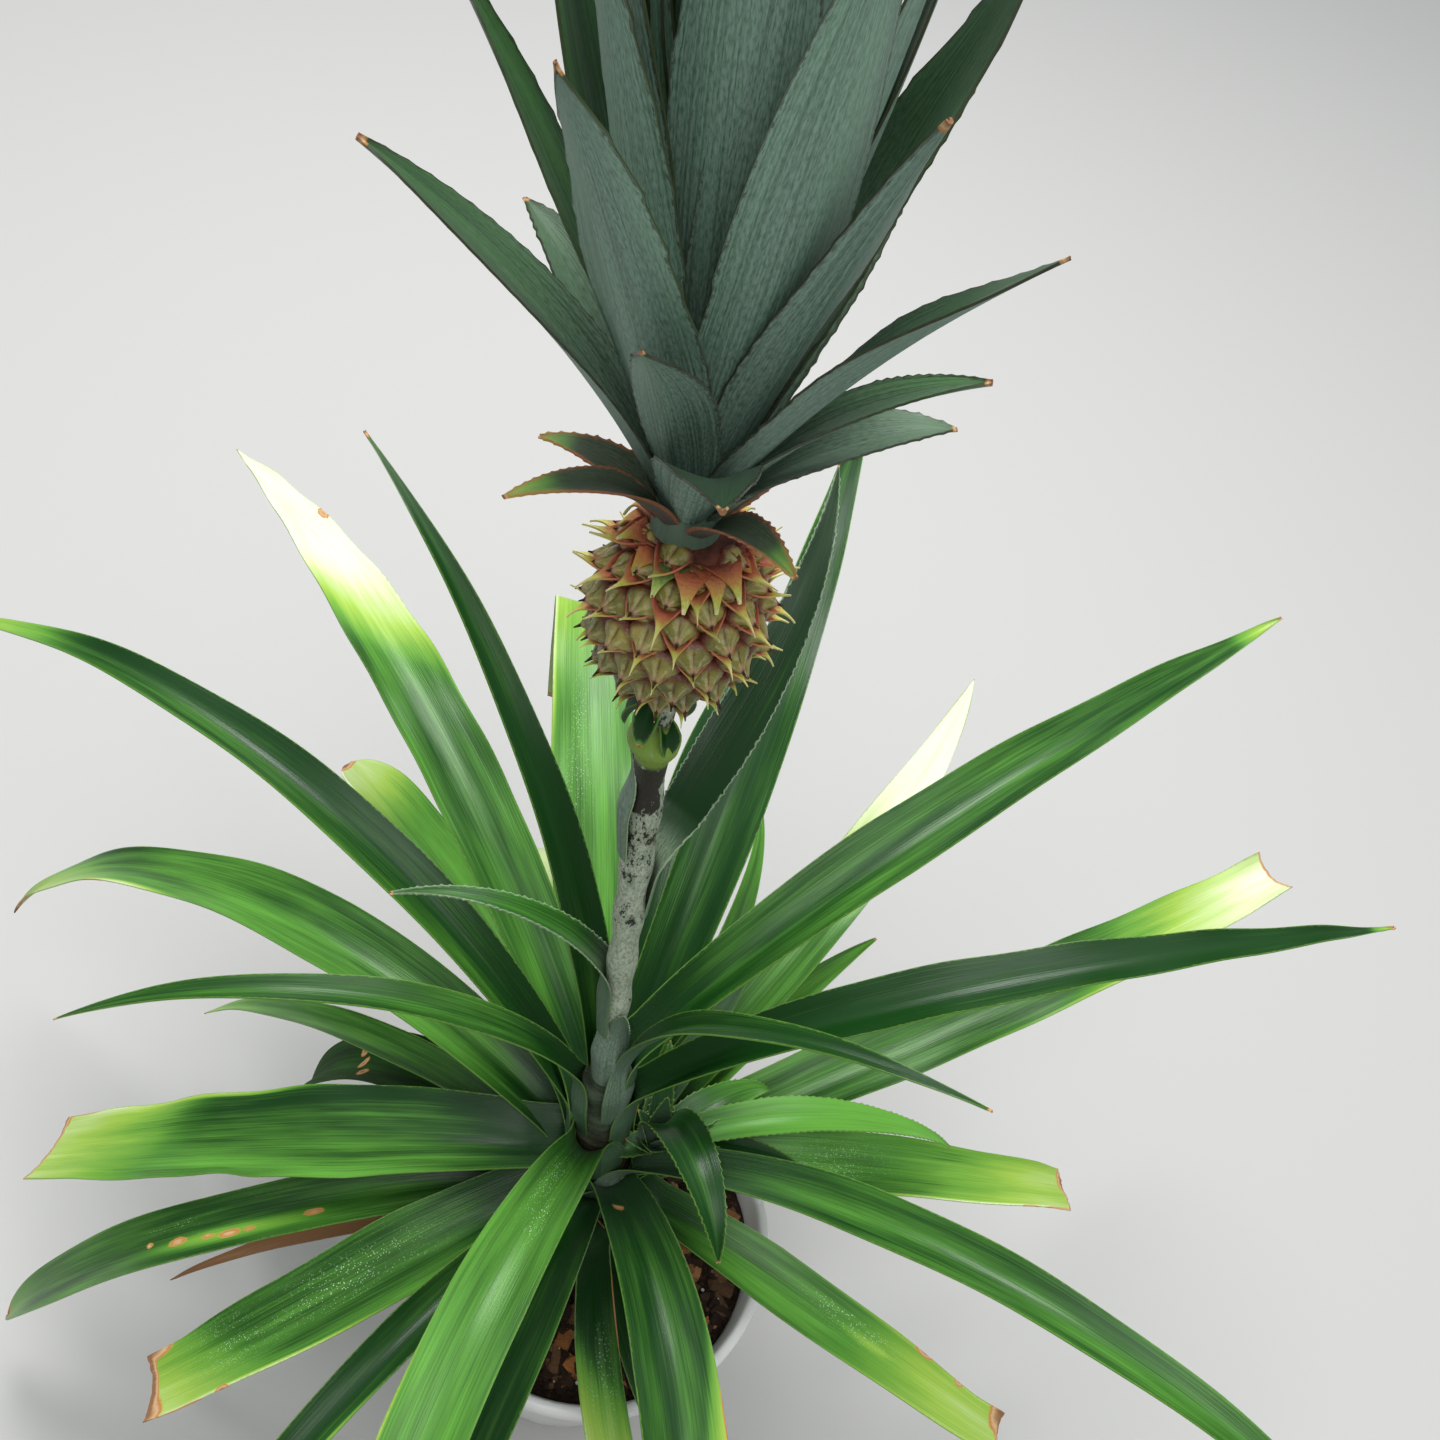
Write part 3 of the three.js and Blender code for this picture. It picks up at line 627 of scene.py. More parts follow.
def lay_blade(leaf, foot, reach, across, index, limb_radius=None):
    """Points of the leaf's upper skin. across runs from -1 to 1, edge to edge."""
    share = np.maximum(reach, 0) / leaf["length"]
    at, along, side, up = midrib(leaf, foot, share)
    gutter = leaf["gutter"] * np.exp(-share * leaf["length"] / GUTTER_LENGTH)
    fold = np.radians(leaf["fold"] * (1 - 0.5 * share) + gutter)
    half = half_width(leaf, share)
    for spot, pinched_side, depth in leaf["pinches"]:
        bite = np.exp(-((share - spot) / 0.05) ** 2) * np.clip(across * pinched_side, 0, 1) ** 2
        half = half * (1 - depth * bite)
    if leaf["teeth"]:
        tooth = (share * leaf["length"] / leaf["teeth"]) % 1.0
        half = half + TOOTH_DEPTH * tooth ** 3 * (np.abs(across) > 0.99) * (share > 0.04) * (share < 0.97)
    soft = CHANNEL_SOFTNESS
    channel = (np.sqrt(across ** 2 + soft ** 2) - soft) / (math.sqrt(1 + soft ** 2) - soft)
    x = across * half * np.cos(fold)
    y = half * np.sin(fold) * channel
    ridge = np.cos(2 * np.pi * across * half / RIDGE_PITCH + 2 * chance(index, 1))
    y = y + RIDGE_HEIGHT * ridge * (1 - share)
    wave_length = WAVE_LENGTH * (1 + chance(index, 2) / 3)
    turn = 2 * np.pi * share * leaf["length"] / wave_length + 3 * np.sign(across)
    wave = WAVE_HEIGHT * np.sin(turn + index) * across ** 2
    y = y + wave * smooth_step(share, 0.1, 0.5) * leaf["width"] / 0.05
    push = np.zeros_like(share)
    if leaf["tip"] == "cut":
        ragged = np.array([chance(round(9 * a), index) for a in across])
        push = leaf["skew"] * x * smooth_step(share, 0.55, 1.0)
        push = push + RAGGED_DEPTH * ragged * smooth_step(share, 0.97, 1.0)
        y = y + leaf["curl"] * smooth_step(share, 0.90, 1.0) * np.abs(across) ** 3
    points = at + side * x[:, None] + up * y[:, None] + along * push[:, None]
    if limb_radius:
        freed = smooth_step(reach, *leaf["clasp"])[:, None]
        points = points * freed + lay_sheath(leaf, limb_radius, reach, across) * (1 - freed)
    return points, half


def grow_leaf(name, leaf, foot, index, skins, rows=BLADE_ROWS, columns=BLADE_COLUMNS, limb_radius=None):
    """One leaf: a grid laid along its midrib, marked for its finish, and made solid."""
    leaf = {**PLAIN_LEAF, **leaf}
    clear_selection()
    bpy.ops.mesh.primitive_grid_add(x_subdivisions=columns, y_subdivisions=rows, size=2)
    piece = bpy.context.object
    piece.name = name
    mesh = piece.data
    flat = np.array([v.co for v in mesh.vertices])
    sheath = leaf["sheath"] if limb_radius else 0.0
    across = -flat[:, 0]
    reach = (flat[:, 1] + 1) / 2 * (leaf["length"] + sheath) - sheath
    points, half = lay_blade(leaf, foot, reach, across, index, limb_radius)
    mesh.vertices.foreach_set("co", points.astype(np.float32).ravel())
    set_marks(mesh, leaf_marks(leaf, reach, across, half))
    corners = np.array([loop.vertex_index for loop in mesh.loops])
    strip = np.column_stack([across * leaf["width"] / 2 + 0.1 * index, reach + 0.7 * index])
    mesh.uv_layers.active.data.foreach_set("uv", strip[corners].astype(np.float32).ravel())
    thick = piece.vertex_groups.new(name="thickness")
    share = np.maximum(reach, 0) / leaf["length"]
    rib = RIB_THICKNESS * (1 - 0.55 * share) * min(1.0, leaf["width"] / 0.03)
    depth = EDGE_THICKNESS + np.maximum(rib - EDGE_THICKNESS, 0) * (1 - across ** 2) ** 1.5
    for i, weight in enumerate(depth / RIB_THICKNESS):
        thick.add([i], float(weight), "REPLACE")
    for skin in skins:
        mesh.materials.append(skin)
    wall = piece.modifiers.new("thickness", "SOLIDIFY")
    wall.thickness = RIB_THICKNESS
    wall.offset = -1
    wall.vertex_group = "thickness"
    wall.material_offset = 1
    wall.material_offset_rim = 0
    apply_modifiers(piece)
    piece.vertex_groups.clear()
    smooth(piece, 50)
    return piece


def leaf_foot(leaf, radius):
    return axis_point(leaf["seat"]) + Vector(around(math.radians(leaf["bearing"]), radius - FOOT_SINK))


def new_effect(name, inputs, outputs):
    """An empty node group with sockets of {label: kind}: the tree, its inputs and its output node."""
    tree = bpy.data.node_groups.new(name, "ShaderNodeTree")
    for direction, sockets in (("INPUT", inputs), ("OUTPUT", outputs)):
        for label, kind in sockets.items():
            tree.interface.new_socket(label, in_out=direction, socket_type="NodeSocket" + kind)
    return tree, tree.nodes.new("NodeGroupInput").outputs, tree.nodes.new("NodeGroupOutput")


def total(tree, *terms):
    """Sum of outputs and numbers. A term of (output, weight) is weighed first."""
    return maths(tree, "ADD", *(product(tree, *term) if isinstance(term, tuple) else term for term in terms))


# Effect: fine parallel veins along the leaf, bands and clouds of darker tissue, and small flecks.
vein_effect, given, result = new_effect("leaf veins", {"Strip": "Vector"},
                                        {"Veins": "Float", "Clouds": "Float", "Flecks": "Float"})
tree, strip = vein_effect, given["Strip"]
feed(tree, result, Veins=grain(tree, stretch(tree, strip, 1100.0, 7.0, 1.0), 1.0, 3.0, 0.6),
     Clouds=grain(tree, stretch(tree, strip, 85.0, 7.0, 1.0), 1.0, 3.0, 0.55),
     Flecks=grain(tree, stretch(tree, strip, 1500.0, 320.0, 1.0), 1.0, 2.0, 0.6))

# Effect: living tissue that fades through lime and yellow to cream, and dries to tan and brown.
age_effect, given, result = new_effect(
    "leaf ageing", {"Green": "Color", "Fade": "Float", "Dry": "Float", "Veins": "Float", "Clouds": "Float"},
    {"Color": "Color", "Dryness": "Float"})
tree = age_effect
uneven = total(tree, (given["Veins"], 0.30), (given["Clouds"], 0.50), -0.40)
faded = total(tree, given["Fade"], (uneven, between(tree, given["Fade"], 0.0, 0.3)))
pale = ramp(tree, faded, (0.06, 0.050, 0.20, 0.020), (0.26, 0.13, 0.30, 0.035), (0.46, 0.28, 0.44, 0.060),
            (0.68, 0.44, 0.56, 0.22), (0.92, 0.70, 0.77, 0.50))
living = blend(tree, between(tree, faded, 0.02, 0.22), given["Green"], pale)
dried = total(tree, given["Dry"], (uneven, 0.9))
dead = ramp(tree, dried, (0.42, 0.50, 0.27, 0.05), (0.52, 0.40, 0.18, 0.060), (0.66, 0.56, 0.36, 0.19),
            (0.95, 0.24, 0.115, 0.050))
dryness = between(tree, dried, 0.36, 0.48)
feed(tree, result, Color=blend(tree, dryness, living, dead), Dryness=dryness)


def leaf_finish(name, dark, light, bloom, least_bloom, roughness, vein_depth, rim, rim_width=0.0007,
                gloss=0.4):
    """Skin of a leaf: green by tone, veined, with mealy bloom, dew drops with a painted glint, a thin rim and
    dry parts.
    """
    material, tree, shader = new_finish(name, roughness, gloss)
    strip = wire(tree, "ShaderNodeTexCoord")["UV"]
    pattern = wire(tree, "ShaderNodeGroup", {"Strip": strip}, node_tree=vein_effect)
    veins, clouds, flecks = pattern["Veins"], pattern["Clouds"], pattern["Flecks"]
    lift = total(tree, mark(tree, "tone"), (clouds, 0.95), (veins, 0.6))
    green = blend(tree, between(tree, lift, 0.80, 1.80), dark, light)
    tissue = {"Green": green, "Fade": mark(tree, "fade"), "Dry": mark(tree, "dry"), "Veins": veins,
              "Clouds": clouds}
    aged = wire(tree, "ShaderNodeGroup", tissue, node_tree=age_effect)
    meal = product(tree, maths(tree, "MAXIMUM", mark(tree, "chalk"), least_bloom),
                   between(tree, flecks, 0.30, 0.62, 0.45, 1.0), between(tree, veins, 0.30, 0.58, 0.50, 1.0))
    powdered = blend(tree, meal, aged["Color"], bloom)
    # Dew: drops raised by bump, and painted pale green where they glint, which is a painted highlight.
    beads = wire(tree, "ShaderNodeTexVoronoi", {"Vector": strip, "Scale": 620.0})["Distance"]
    beads = product(tree, between(tree, beads, 0.30, 0.16), between(tree, clouds, 0.40, 0.56),
                    mark(tree, "dew"))
    skin_with_dew_glints = blend(tree, beads, powdered, (0.55, 0.72, 0.52))
    ragged = product(tree, mark(tree, "inset"), between(tree, flecks, 0.38, 0.62, 0.6, 1.9))
    margin = between(tree, ragged, rim_width, rim_width * 0.4, 0.0, 0.6)
    rimmed = blend(tree, margin, skin_with_dew_glints, rim)
    dull = maths(tree, "MAXIMUM", meal, aged["Dryness"])
    feed(tree, shader, Base_Color=blend(tree, aged["Dryness"], rimmed, aged["Color"]),
         Roughness=between(tree, dull, 0.0, 1.0, roughness, 0.8),
         Normal=relief(tree, total(tree, veins, (beads, 1.5)), vein_depth))
    return material


leaf_skin = leaf_finish("leaf upper skin", (0.0045, 0.036, 0.0040), (0.125, 0.37, 0.045),
                        (0.080, 0.150, 0.080), 0.0, 0.30, 0.00020, (0.13, 0.26, 0.04), gloss=0.24)
# A darker, duller copy of the upper skin, for a leaf that lies in shadow under the others: painted shade.
shaded_skin = leaf_finish("shaded leaf skin", (0.0025, 0.018, 0.0015), (0.035, 0.16, 0.010),
                          (0.030, 0.060, 0.030), 0.0, 0.62, 0.00020, (0.05, 0.09, 0.02), gloss=0.05)
leaf_back = leaf_finish("leaf silvery back", (0.014, 0.060, 0.014), (0.090, 0.30, 0.050),
                        (0.17, 0.23, 0.18), 0.32, 0.5, 0.0003, (0.10, 0.17, 0.05))


def sword(bearing, seat, length, width, rise, fall, **own):
    """A leaf by its bearing, its foot's height, its size, and its slope at the foot and the end."""
    return dict(bearing=bearing, seat=seat, length=length, width=width, rise=rise, fall=fall, **own)


ROSETTE = [
    sword(196, 0.240, 0.336, 0.015, 2, -55, bend=0.75, sweep=-2, dead=True),
    sword(296, 0.243, 0.246, 0.024, 31, -36, sweep=25, tone=0.10, side=0.5, edge=0.5),
    sword(282, 0.268, 0.250, 0.028, 22, -30, bend=0.9, sweep=36, tip="blunt", tone=0.20,
          fade=(0.30, 0.72), bleach=0.55, side=-0.6, edge=0.5, scars=[(0.30, 1.0, 0.05, 0.0012, 0.6)],
          dew=[(0.42, 0.0, 0.03, 0.008, 0.6)]),
    sword(157, 0.266, 0.372, 0.050, 18, -81, bend=0.7, sweep=9, tip="blunt", tone=0.30, chalk=0.0,
          shaded=True, scars=[(0.60, -0.35, 0.005, 0.006, 1.0), (0.57, 0.1, 0.004, 0.007, 1.0),
          (0.53, 0.55, 0.006, 0.005, 1.0)]),
    sword(30, 0.273, 0.220, 0.024, 14, -42, bend=0.9, sweep=9, tip="blunt", tone=0.5, fade=(0.1, 0.7),
          bleach=0.42, brown=0.03, dew=[(0.6, 0.0, 0.07, 0.02, 0.9)]),
    sword(160, 0.284, 0.435, 0.027, 18, -60, bend=0.65, sweep=1, tone=0.35, bloom=0.2, fade=(0.55, 1.0),
          bleach=0.35),
    sword(72, 0.280, 0.350, 0.021, 34, -26, bend=0.8, sweep=28, tone=0.45),
    sword(112, 0.287, 0.465, 0.026, 22, -54, bend=0.5, sweep=-4, tip="blunt", tone=0.3,
          fade=(0.45, 0.66), bleach=0.66, dew=[(0.6, 0.3, 0.05, 0.02, 0.5)]),
    sword(61, 0.287, 0.165, 0.024, 57, 10, sweep=10, tone=0.2, chalk=1.0, bloom=0.3),
    sword(56, 0.288, 0.257, 0.034, 33, -13, sweep=-3, tone=0.6),
    sword(201, 0.289, 0.485, 0.038, 12, -66, bend=0.85, sweep=-8, tip="blunt", tone=0.3, brown=0.010,
          fade=(0.75, 1.1), bleach=0.3, scars=[(0.55, 0.25, 0.011, 0.0045, 0.66),
          (0.50, 0.35, 0.007, 0.003, 0.62), (0.465, 0.45, 0.012, 0.004, 0.66),
          (0.435, 0.45, 0.007, 0.003, 0.62), (0.345, 0.30, 0.011, 0.004, 0.64),
          (0.60, 0.1, 0.004, 0.003, 0.8)], pale=[(0.46, 0.4, 0.07, 0.006, 0.3)],
          dew=[(0.50, -0.3, 0.04, 0.008, 0.5)]),
    sword(239, 0.291, 0.435, 0.028, 36, -57, bend=0.9, sweep=10, fold=30, tone=0.08, side=1.0,
          edge=0.4),
    sword(33, 0.294, 0.550, 0.050, 22, -4, bend=1.05, sweep=12, tip="cut", tone=0.35, fade=(0.55, 1.02),
          bleach=0.85, side=-0.4, brown=0.001, edge=0.3),
    sword(340, 0.297, 0.325, 0.040, 32, -39, bend=0.55, sweep=20, tip="cut", tone=0.50,
          fade=(0.42, 0.86), bleach=0.50, dew=[(0.54, 0.4, 0.03, 0.008, 0.9)], edge=0.5,
          scars=[(0.99, 0.9, 0.012, 0.012, 1.0), (0.73, 1.0, 0.012, 0.003, 0.9),
          (0.85, 1.0, 0.006, 0.004, 0.9)], pale=[(0.62, 0.1, 0.03, 0.004, 0.4)], skew=-0.2),
    sword(60, 0.297, 0.495, 0.044, 28, -8, sweep=19, tone=0.4, fade=(0.35, 0.70), bleach=0.90,
          brown=0.002, side=0.2, full=0.50),
    sword(262, 0.299, 0.390, 0.042, 48, -43, bend=0.9, full=0.45, tone=0.12),
    sword(222, 0.310, 0.310, 0.054, 21, -42, bend=0.45, sweep=-14, tip="cut", tone=0.36, bright=0.4,
          fade=(0.64, 1.06), bleach=0.52, side=0.7, edge=0.45, skew=0.15, brown=0.014,
          dew=[(0.80, -0.1, 0.03, 0.014, 0.8), (0.50, -0.1, 0.045, 0.014, 1.0)],
          scars=[(1.0, 1.0, 0.014, 0.016, 1.0), (0.99, -1.0, 0.02, 0.006, 0.9),
          (0.80, 1.0, 0.006, 0.003, 0.9), (0.9, 1.0, 0.03, 0.0014, 0.6)]),
    sword(158, 0.314, 0.640, 0.054, 37, -64, bend=0.75, sweep=17, tone=0.42, bright=0.5,
          fade=(0.58, 0.98), bleach=0.55, brown=0.03, side=0.5, scars=[(0.95, 1.0, 0.05, 0.0020, 0.66),
          (0.70, 1.0, 0.03, 0.0012, 0.5)], pale=[(0.64, 1.0, 0.06, 0.003, 0.9)]),
    sword(75, 0.314, 0.146, 0.018, 49, 19, sweep=12, tone=0.6, bloom=0.15),
    sword(12, 0.318, 0.344, 0.044, 26, -30, bend=0.6, sweep=11, tip="cut", tone=0.40, fade=(0.34, 1.0),
          bleach=0.48, edge=0.5, side=-0.3, curl=-0.002, brown=0.003, dew=[(0.42, 0.0, 0.03, 0.012, 0.6)],
          scars=[(0.97, -1.0, 0.03, 0.0016, 0.8), (0.86, -1.0, 0.012, 0.0014, 0.7),
          (1.0, 0.4, 0.006, 0.01, 1.0)]),
    sword(340, 0.322, 0.604, 0.034, 61, -40, bend=1.1, sweep=-3, fold=30, tone=0.3, chalk=0.9,
          bloom=0.22),
    sword(110, 0.326, 0.510, 0.060, 38, -14, sweep=-6, tip="cut", crease=0.74, tone=0.50,
          fade=(0.50, 0.95), bleach=0.55, side=0.5, edge=0.4, fold=14,
          dew=[(0.43, 0.35, 0.045, 0.007, 1.0), (0.56, 0.3, 0.03, 0.005, 0.8)]),
    sword(190, 0.330, 0.400, 0.064, 16, -40, bend=0.45, sweep=-8, tip="cut", tone=0.34, bright=1.0,
          fade=(0.58, 1.05), bleach=0.58, side=-0.3, edge=0.3, skew=0.35, fold=12, brown=0.005,
          pinches=((0.58, 1, 0.14),), pale=[(0.90, -1.0, 0.07, 0.007, 0.8)],
          scars=[(0.95, -1.0, 0.030, 0.0016, 0.60), (1.0, -0.9, 0.006, 0.006, 0.8),
          (0.93, 0.15, 0.008, 0.0012, 0.7)]),
    sword(301, 0.314, 0.450, 0.048, 63, -74, bend=0.76, sweep=-32, tip="blunt", tone=0.26,
          fade=(0.53, 0.74), bleach=0.5, side=2.2, edge=0.4, bloom=0.12, gutter=34,
          scars=[(0.10, -0.2, 0.004, 0.006, 0.8), (0.42, 1.0, 0.03, 0.0012, 0.6)]),
    sword(92, 0.332, 0.473, 0.044, 41, -38, bend=0.8, sweep=-5, tone=0.08),
    sword(134, 0.340, 0.405, 0.042, 34, -33, bend=0.5, sweep=1, tip="blunt", square=6.0, tone=0.62,
          fade=(0.54, 0.98), bleach=0.60, side=0.3, edge=0.7, brown=0.003,
          scars=[(0.985, 0.9, 0.011, 0.010, 1.0)]),
    sword(255, 0.360, 0.443, 0.044, 65, -68, bend=0.72, sweep=24, tip="blunt", tone=0.52, fold=16,
          gutter=52, edge=0.5, side=-0.4, bloom=0.05, dew=[(0.22, 0.15, 0.014, 0.006, 1.0),
          (0.16, -0.3, 0.03, 0.006, 0.6)]),
    sword(82, 0.349, 0.600, 0.046, 52, -6, bend=0.9, sweep=9, tone=0.12),
    sword(158, 0.356, 0.600, 0.038, 60, -34, bend=0.9, sweep=8, fold=32, tone=0.15, bright=0.8,
          fade=(0.70, 1.0), bleach=0.45),
    sword(133, 0.367, 0.625, 0.050, 53, -20, bend=0.55, sweep=4, full=0.52, tone=0.35,
          fade=(0.48, 0.72), bleach=0.92, side=-0.4, edge=0.3, brown=0.002,
          scars=[(0.78, -0.9, 0.009, 0.003, 0.9)]),
    sword(140, 0.372, 0.470, 0.028, 88, 12, bend=1.1, sweep=2, fold=32, tone=0.06),
    sword(16, 0.395, 0.545, 0.036, 72, -20, bend=0.65, sweep=18, fold=32, tone=0.0, fade=(0.93, 1.02),
          bleach=0.6),
    sword(196, 0.408, 0.360, 0.022, 80, -41, bend=0.85, sweep=-2, fold=30, tone=0.22),
    sword(333, 0.430, 0.300, 0.020, 92, -8, bend=1.2, sweep=20, fold=30, tone=0.12, chalk=0.7,
          bloom=0.12),
    sword(44, 0.440, 0.594, 0.044, 68, -14, bend=0.5, sweep=10, fold=30, tone=0.26, fade=(0.84, 1.0),
          bleach=0.66),
]
for number, leaf in enumerate(ROSETTE, 1):
    label = f"leaf_{number:02d}"
    nodes = [name for name in (label, label + "_foot", label + "_end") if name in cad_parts]
    radius = stem_radius(leaf["seat"])
    # A leaf marked shaded takes the painted-shade skin on both faces.
    skins = [shaded_skin, shaded_skin] if leaf.get("shaded") else [leaf_skin, leaf_back]
    blade = grow_leaf(f"blade_{number:02d}", leaf, leaf_foot(leaf, radius), number, skins, limb_radius=radius)
    fit(blade, "dry_leaf" if leaf.get("dead") else "leaf", None, *nodes)


# Dry scales: papery stubs of old leaves that still clasp the stem below and between the living
# ones, down to the bark mix. Each is a short leaf that has dried right through.
GOLDEN_ANGLE = 137.5
SCALE_COUNT = 26
LOWEST_SCALE = 0.190
HIGHEST_SCALE = 0.268


def join_pieces(name, pieces):
    pick(*pieces)
    bpy.ops.object.join()
    whole = bpy.context.object
    whole.name = name
    return whole


stubs = []
for i in range(SCALE_COUNT):
    seat = LOWEST_SCALE + (HIGHEST_SCALE - LOWEST_SCALE) * i / (SCALE_COUNT - 1)
    stub = sword(GOLDEN_ANGLE * i + 15, seat, 0.026 + 0.010 * chance(i, 4), 0.034, 70 + 8 * chance(i, 5),
                 48 + 30 * chance(i, 6), fold=38, full=0.1, dead=True)
    foot = leaf_foot(stub, stem_radius(seat))
    stubs.append(grow_leaf(f"stub_{i}", stub, foot, i, [leaf_skin, leaf_back], 14, 10))
fit(join_pieces("stem_dry_scales", stubs), "dry_leaf", None)


# Side shoot: a young rosette that grows from the heart beside the stalk. Its leaves are bright,
# short and broad, with small hooked teeth along the margins, round a bud of small mealy ones.
SHOOT_HEART = Vector((0.021, 0.004, 0.352))
SHOOT_LEAF = dict(teeth=0.0048, fold=24, gutter=0, bloom=0.05)
SHOOT_LEAVES = [
    dict(bearing=205, length=0.044, width=0.017, rise=30, fall=-35, tone=0.7),
    dict(bearing=306, length=0.156, width=0.030, rise=110, fall=-57, bend=1.05, sweep=-7, tone=0.10,
         full=0.45, chalk=0.9, bloom=0.06),
    dict(bearing=8, length=0.100, width=0.017, rise=38, fall=-38, tone=0.12),
    dict(bearing=43, length=0.104, width=0.024, rise=56, fall=-62, tone=0.55, chalk=0.9),
    dict(bearing=20, length=0.228, width=0.025, rise=48, fall=-48, bend=0.8, sweep=-4, tone=0.85,
         chalk=0.7, bloom=0.07),
    dict(bearing=345, length=0.078, width=0.016, rise=62, fall=-10, tone=0.4, chalk=0.9),
    dict(bearing=100, length=0.070, width=0.015, rise=70, fall=30, tone=0.4, chalk=0.9),
]
BUD_LEAVES = 9
for i in range(BUD_LEAVES):
    SHOOT_LEAVES.append(dict(
        bearing=GOLDEN_ANGLE * i + 75, length=0.026 + 0.003 * i, width=0.016, rise=52 + 4 * i,
        fall=40 + 5 * i, tone=0.25, chalk=1.0, bloom=0.10))


def dress_core(piece, chalk, tone, skins):
    """Gives the core under a tuft the marks of a leaf, so that it takes the leaves' skins."""
    marks = dict(fade=0.0, dry=0.0, inset=0.01, chalk=chalk, dew=0.0, tone=tone)
    set_marks(piece.data, {key: [value] * len(piece.data.vertices) for key, value in marks.items()})
    for skin in skins:
        piece.data.materials.append(skin)


clear_selection()
bpy.ops.mesh.primitive_uv_sphere_add(segments=24, ring_count=14, radius=0.008, location=SHOOT_HEART)
bpy.ops.object.transform_apply()
heart = bpy.context.object
dress_core(heart, 0.9, 0.0, [leaf_skin, leaf_back])
smooth(heart, 180)
shoot_pieces = [heart]
for i, leaf in enumerate(SHOOT_LEAVES):
    leaf = {**SHOOT_LEAF, **leaf}
    root = SHOOT_HEART + Vector(around(math.radians(leaf["bearing"]), 0.003))
    rows = 200 if leaf["length"] > 0.06 else 40
    shoot_pieces.append(grow_leaf(f"shoot_{i}", leaf, root, 40 + i, [leaf_skin, leaf_back], rows, 12))
fit(join_pieces("side_shoot_leaves", shoot_pieces), "shoot_leaf", None, "side_shoot")


# Fruit stalk: a stout bare shoot under white mealy bloom that has rubbed off in dark patches,
# with a swollen yellow-green collar. Narrow leaves and short scales clasp it on the way up.
STALK_RADIUS = 0.0076
STALK_RINGS = 141
COLLAR_DROP = 0.040
COLLAR_SWELL = 0.0040


def stalk_radius(height):
    below = FRUIT_BASE - height
    collar = COLLAR_SWELL * math.exp(-((below - COLLAR_DROP) / 0.007) ** 2)
    flare = 0.005 * math.exp(-below / 0.009)
    return STALK_RADIUS + collar + flare + 0.0006 * math.cos(height / 0.007)


stalk_rings = []
for row in range(STALK_RINGS):
    height = STEM_TOP + (FRUIT_BASE - STEM_TOP) * row / (STALK_RINGS - 1)
    stalk_rings.append((axis_point(height), stalk_radius(height)))
stalk = raise_rings("stalk_shaft", stalk_rings, 40)
make_lumpy(stalk, 0.10, 90, 32)
smooth(stalk, 70)

stalk_skin, tree, shader = new_finish("mealy stalk", 0.8, 0.3)
where = place(tree)
_, front, height = axes(tree, where)
tall = stretch(tree, where, 1.0, 1.0, 0.5)
rubbed = grain(tree, tall, 90.0, 6.0, 0.65)
specks = grain(tree, tall, 620.0, 4.0, 0.7)
ring = product(tree, between(tree, height, 0.740, 0.746), between(tree, height, 0.772, 0.762))
under = blend(tree, ring, (0.014, 0.011, 0.006), (0.16, 0.26, 0.035))
patch = product(tree, between(tree, height, 0.706, 0.714), between(tree, height, 0.742, 0.738),
                between(tree, front, -0.0020, -0.0050, 0.0, 0.16))
upward = between(tree, height, 0.55, 0.72, -0.060, 0.045)
bare = between(tree, total(tree, (rubbed, 0.60), (specks, 0.40), upward, (ring, 0.10), patch), 0.53, 0.57)
powder = blend(tree, between(tree, specks, 0.35, 0.65), (0.20, 0.25, 0.17), (0.42, 0.46, 0.36))
feed(tree, shader, Base_Color=blend(tree, bare, powder, under),
     Roughness=between(tree, bare, 0.0, 1.0, 0.9, 0.5), Normal=relief(tree, specks, 0.0006))
fit(stalk, "stalk", stalk_skin, "fruit_stalk")

STALK_LEAVES = [
    sword(185, 0.502, 0.192, 0.017, 95, -21, bend=1.15, sweep=10, tone=0.35, chalk=0.6, bloom=0.09,
          fold=20, gutter=10, sheath=0.006, clasp=(0.030, 0.075)),
    sword(63, 0.644, 0.232, 0.026, 50, 20, bend=0.9, sweep=35, tone=0.05, chalk=0.9, bloom=0.035,
          fold=10, gutter=0, sheath=0.028, clasp=(0.006, 0.040)),
    sword(285, 0.470, 0.060, 0.017, 86, 84, tone=0.25, chalk=1.0, bloom=0.12),
    sword(172, 0.700, 0.048, 0.016, 86, 74, tone=0.5, chalk=1.0, bloom=0.12),
]
stalk_leaf_skin = leaf_finish("stalk leaf skin", (0.0030, 0.020, 0.0030), (0.060, 0.26, 0.018),
                              (0.26, 0.34, 0.23), 0.0, 0.32, 0.00020, (0.24, 0.32, 0.20), 0.0007, 0.24)
for number, leaf in enumerate(STALK_LEAVES, 1):
    leaf.update(teeth=0.0038)
    radius = stalk_radius(leaf["seat"])
    blade = grow_leaf(f"stalk_blade_{number}", leaf, leaf_foot(leaf, radius), 50 + number,
                      [stalk_leaf_skin, leaf_back], 190, 12, radius)
    fit(blade, "stalk_leaf", None, f"stalk_leaf_{number}")

COLLAR_SCALES = 4
scales = []
for i in range(COLLAR_SCALES):
    seat = FRUIT_BASE - 0.006 - 0.020 * i / (COLLAR_SCALES - 1)
    scale = sword(GOLDEN_ANGLE * i + 262, seat, 0.024 - 0.002 * i, 0.012, -20, -86, bend=0.5, tone=-0.3,
                  chalk=0.0, fold=22, brown=0.04, fade=(0.75, 1.05), bleach=0.4)
    scales.append(grow_leaf(f"scale_{i}", scale, leaf_foot(scale, stalk_radius(seat)), 60 + i,
                            [leaf_skin, leaf_back], 24, 10))
fit(join_pieces("collar_scales", scales), "stalk", None)


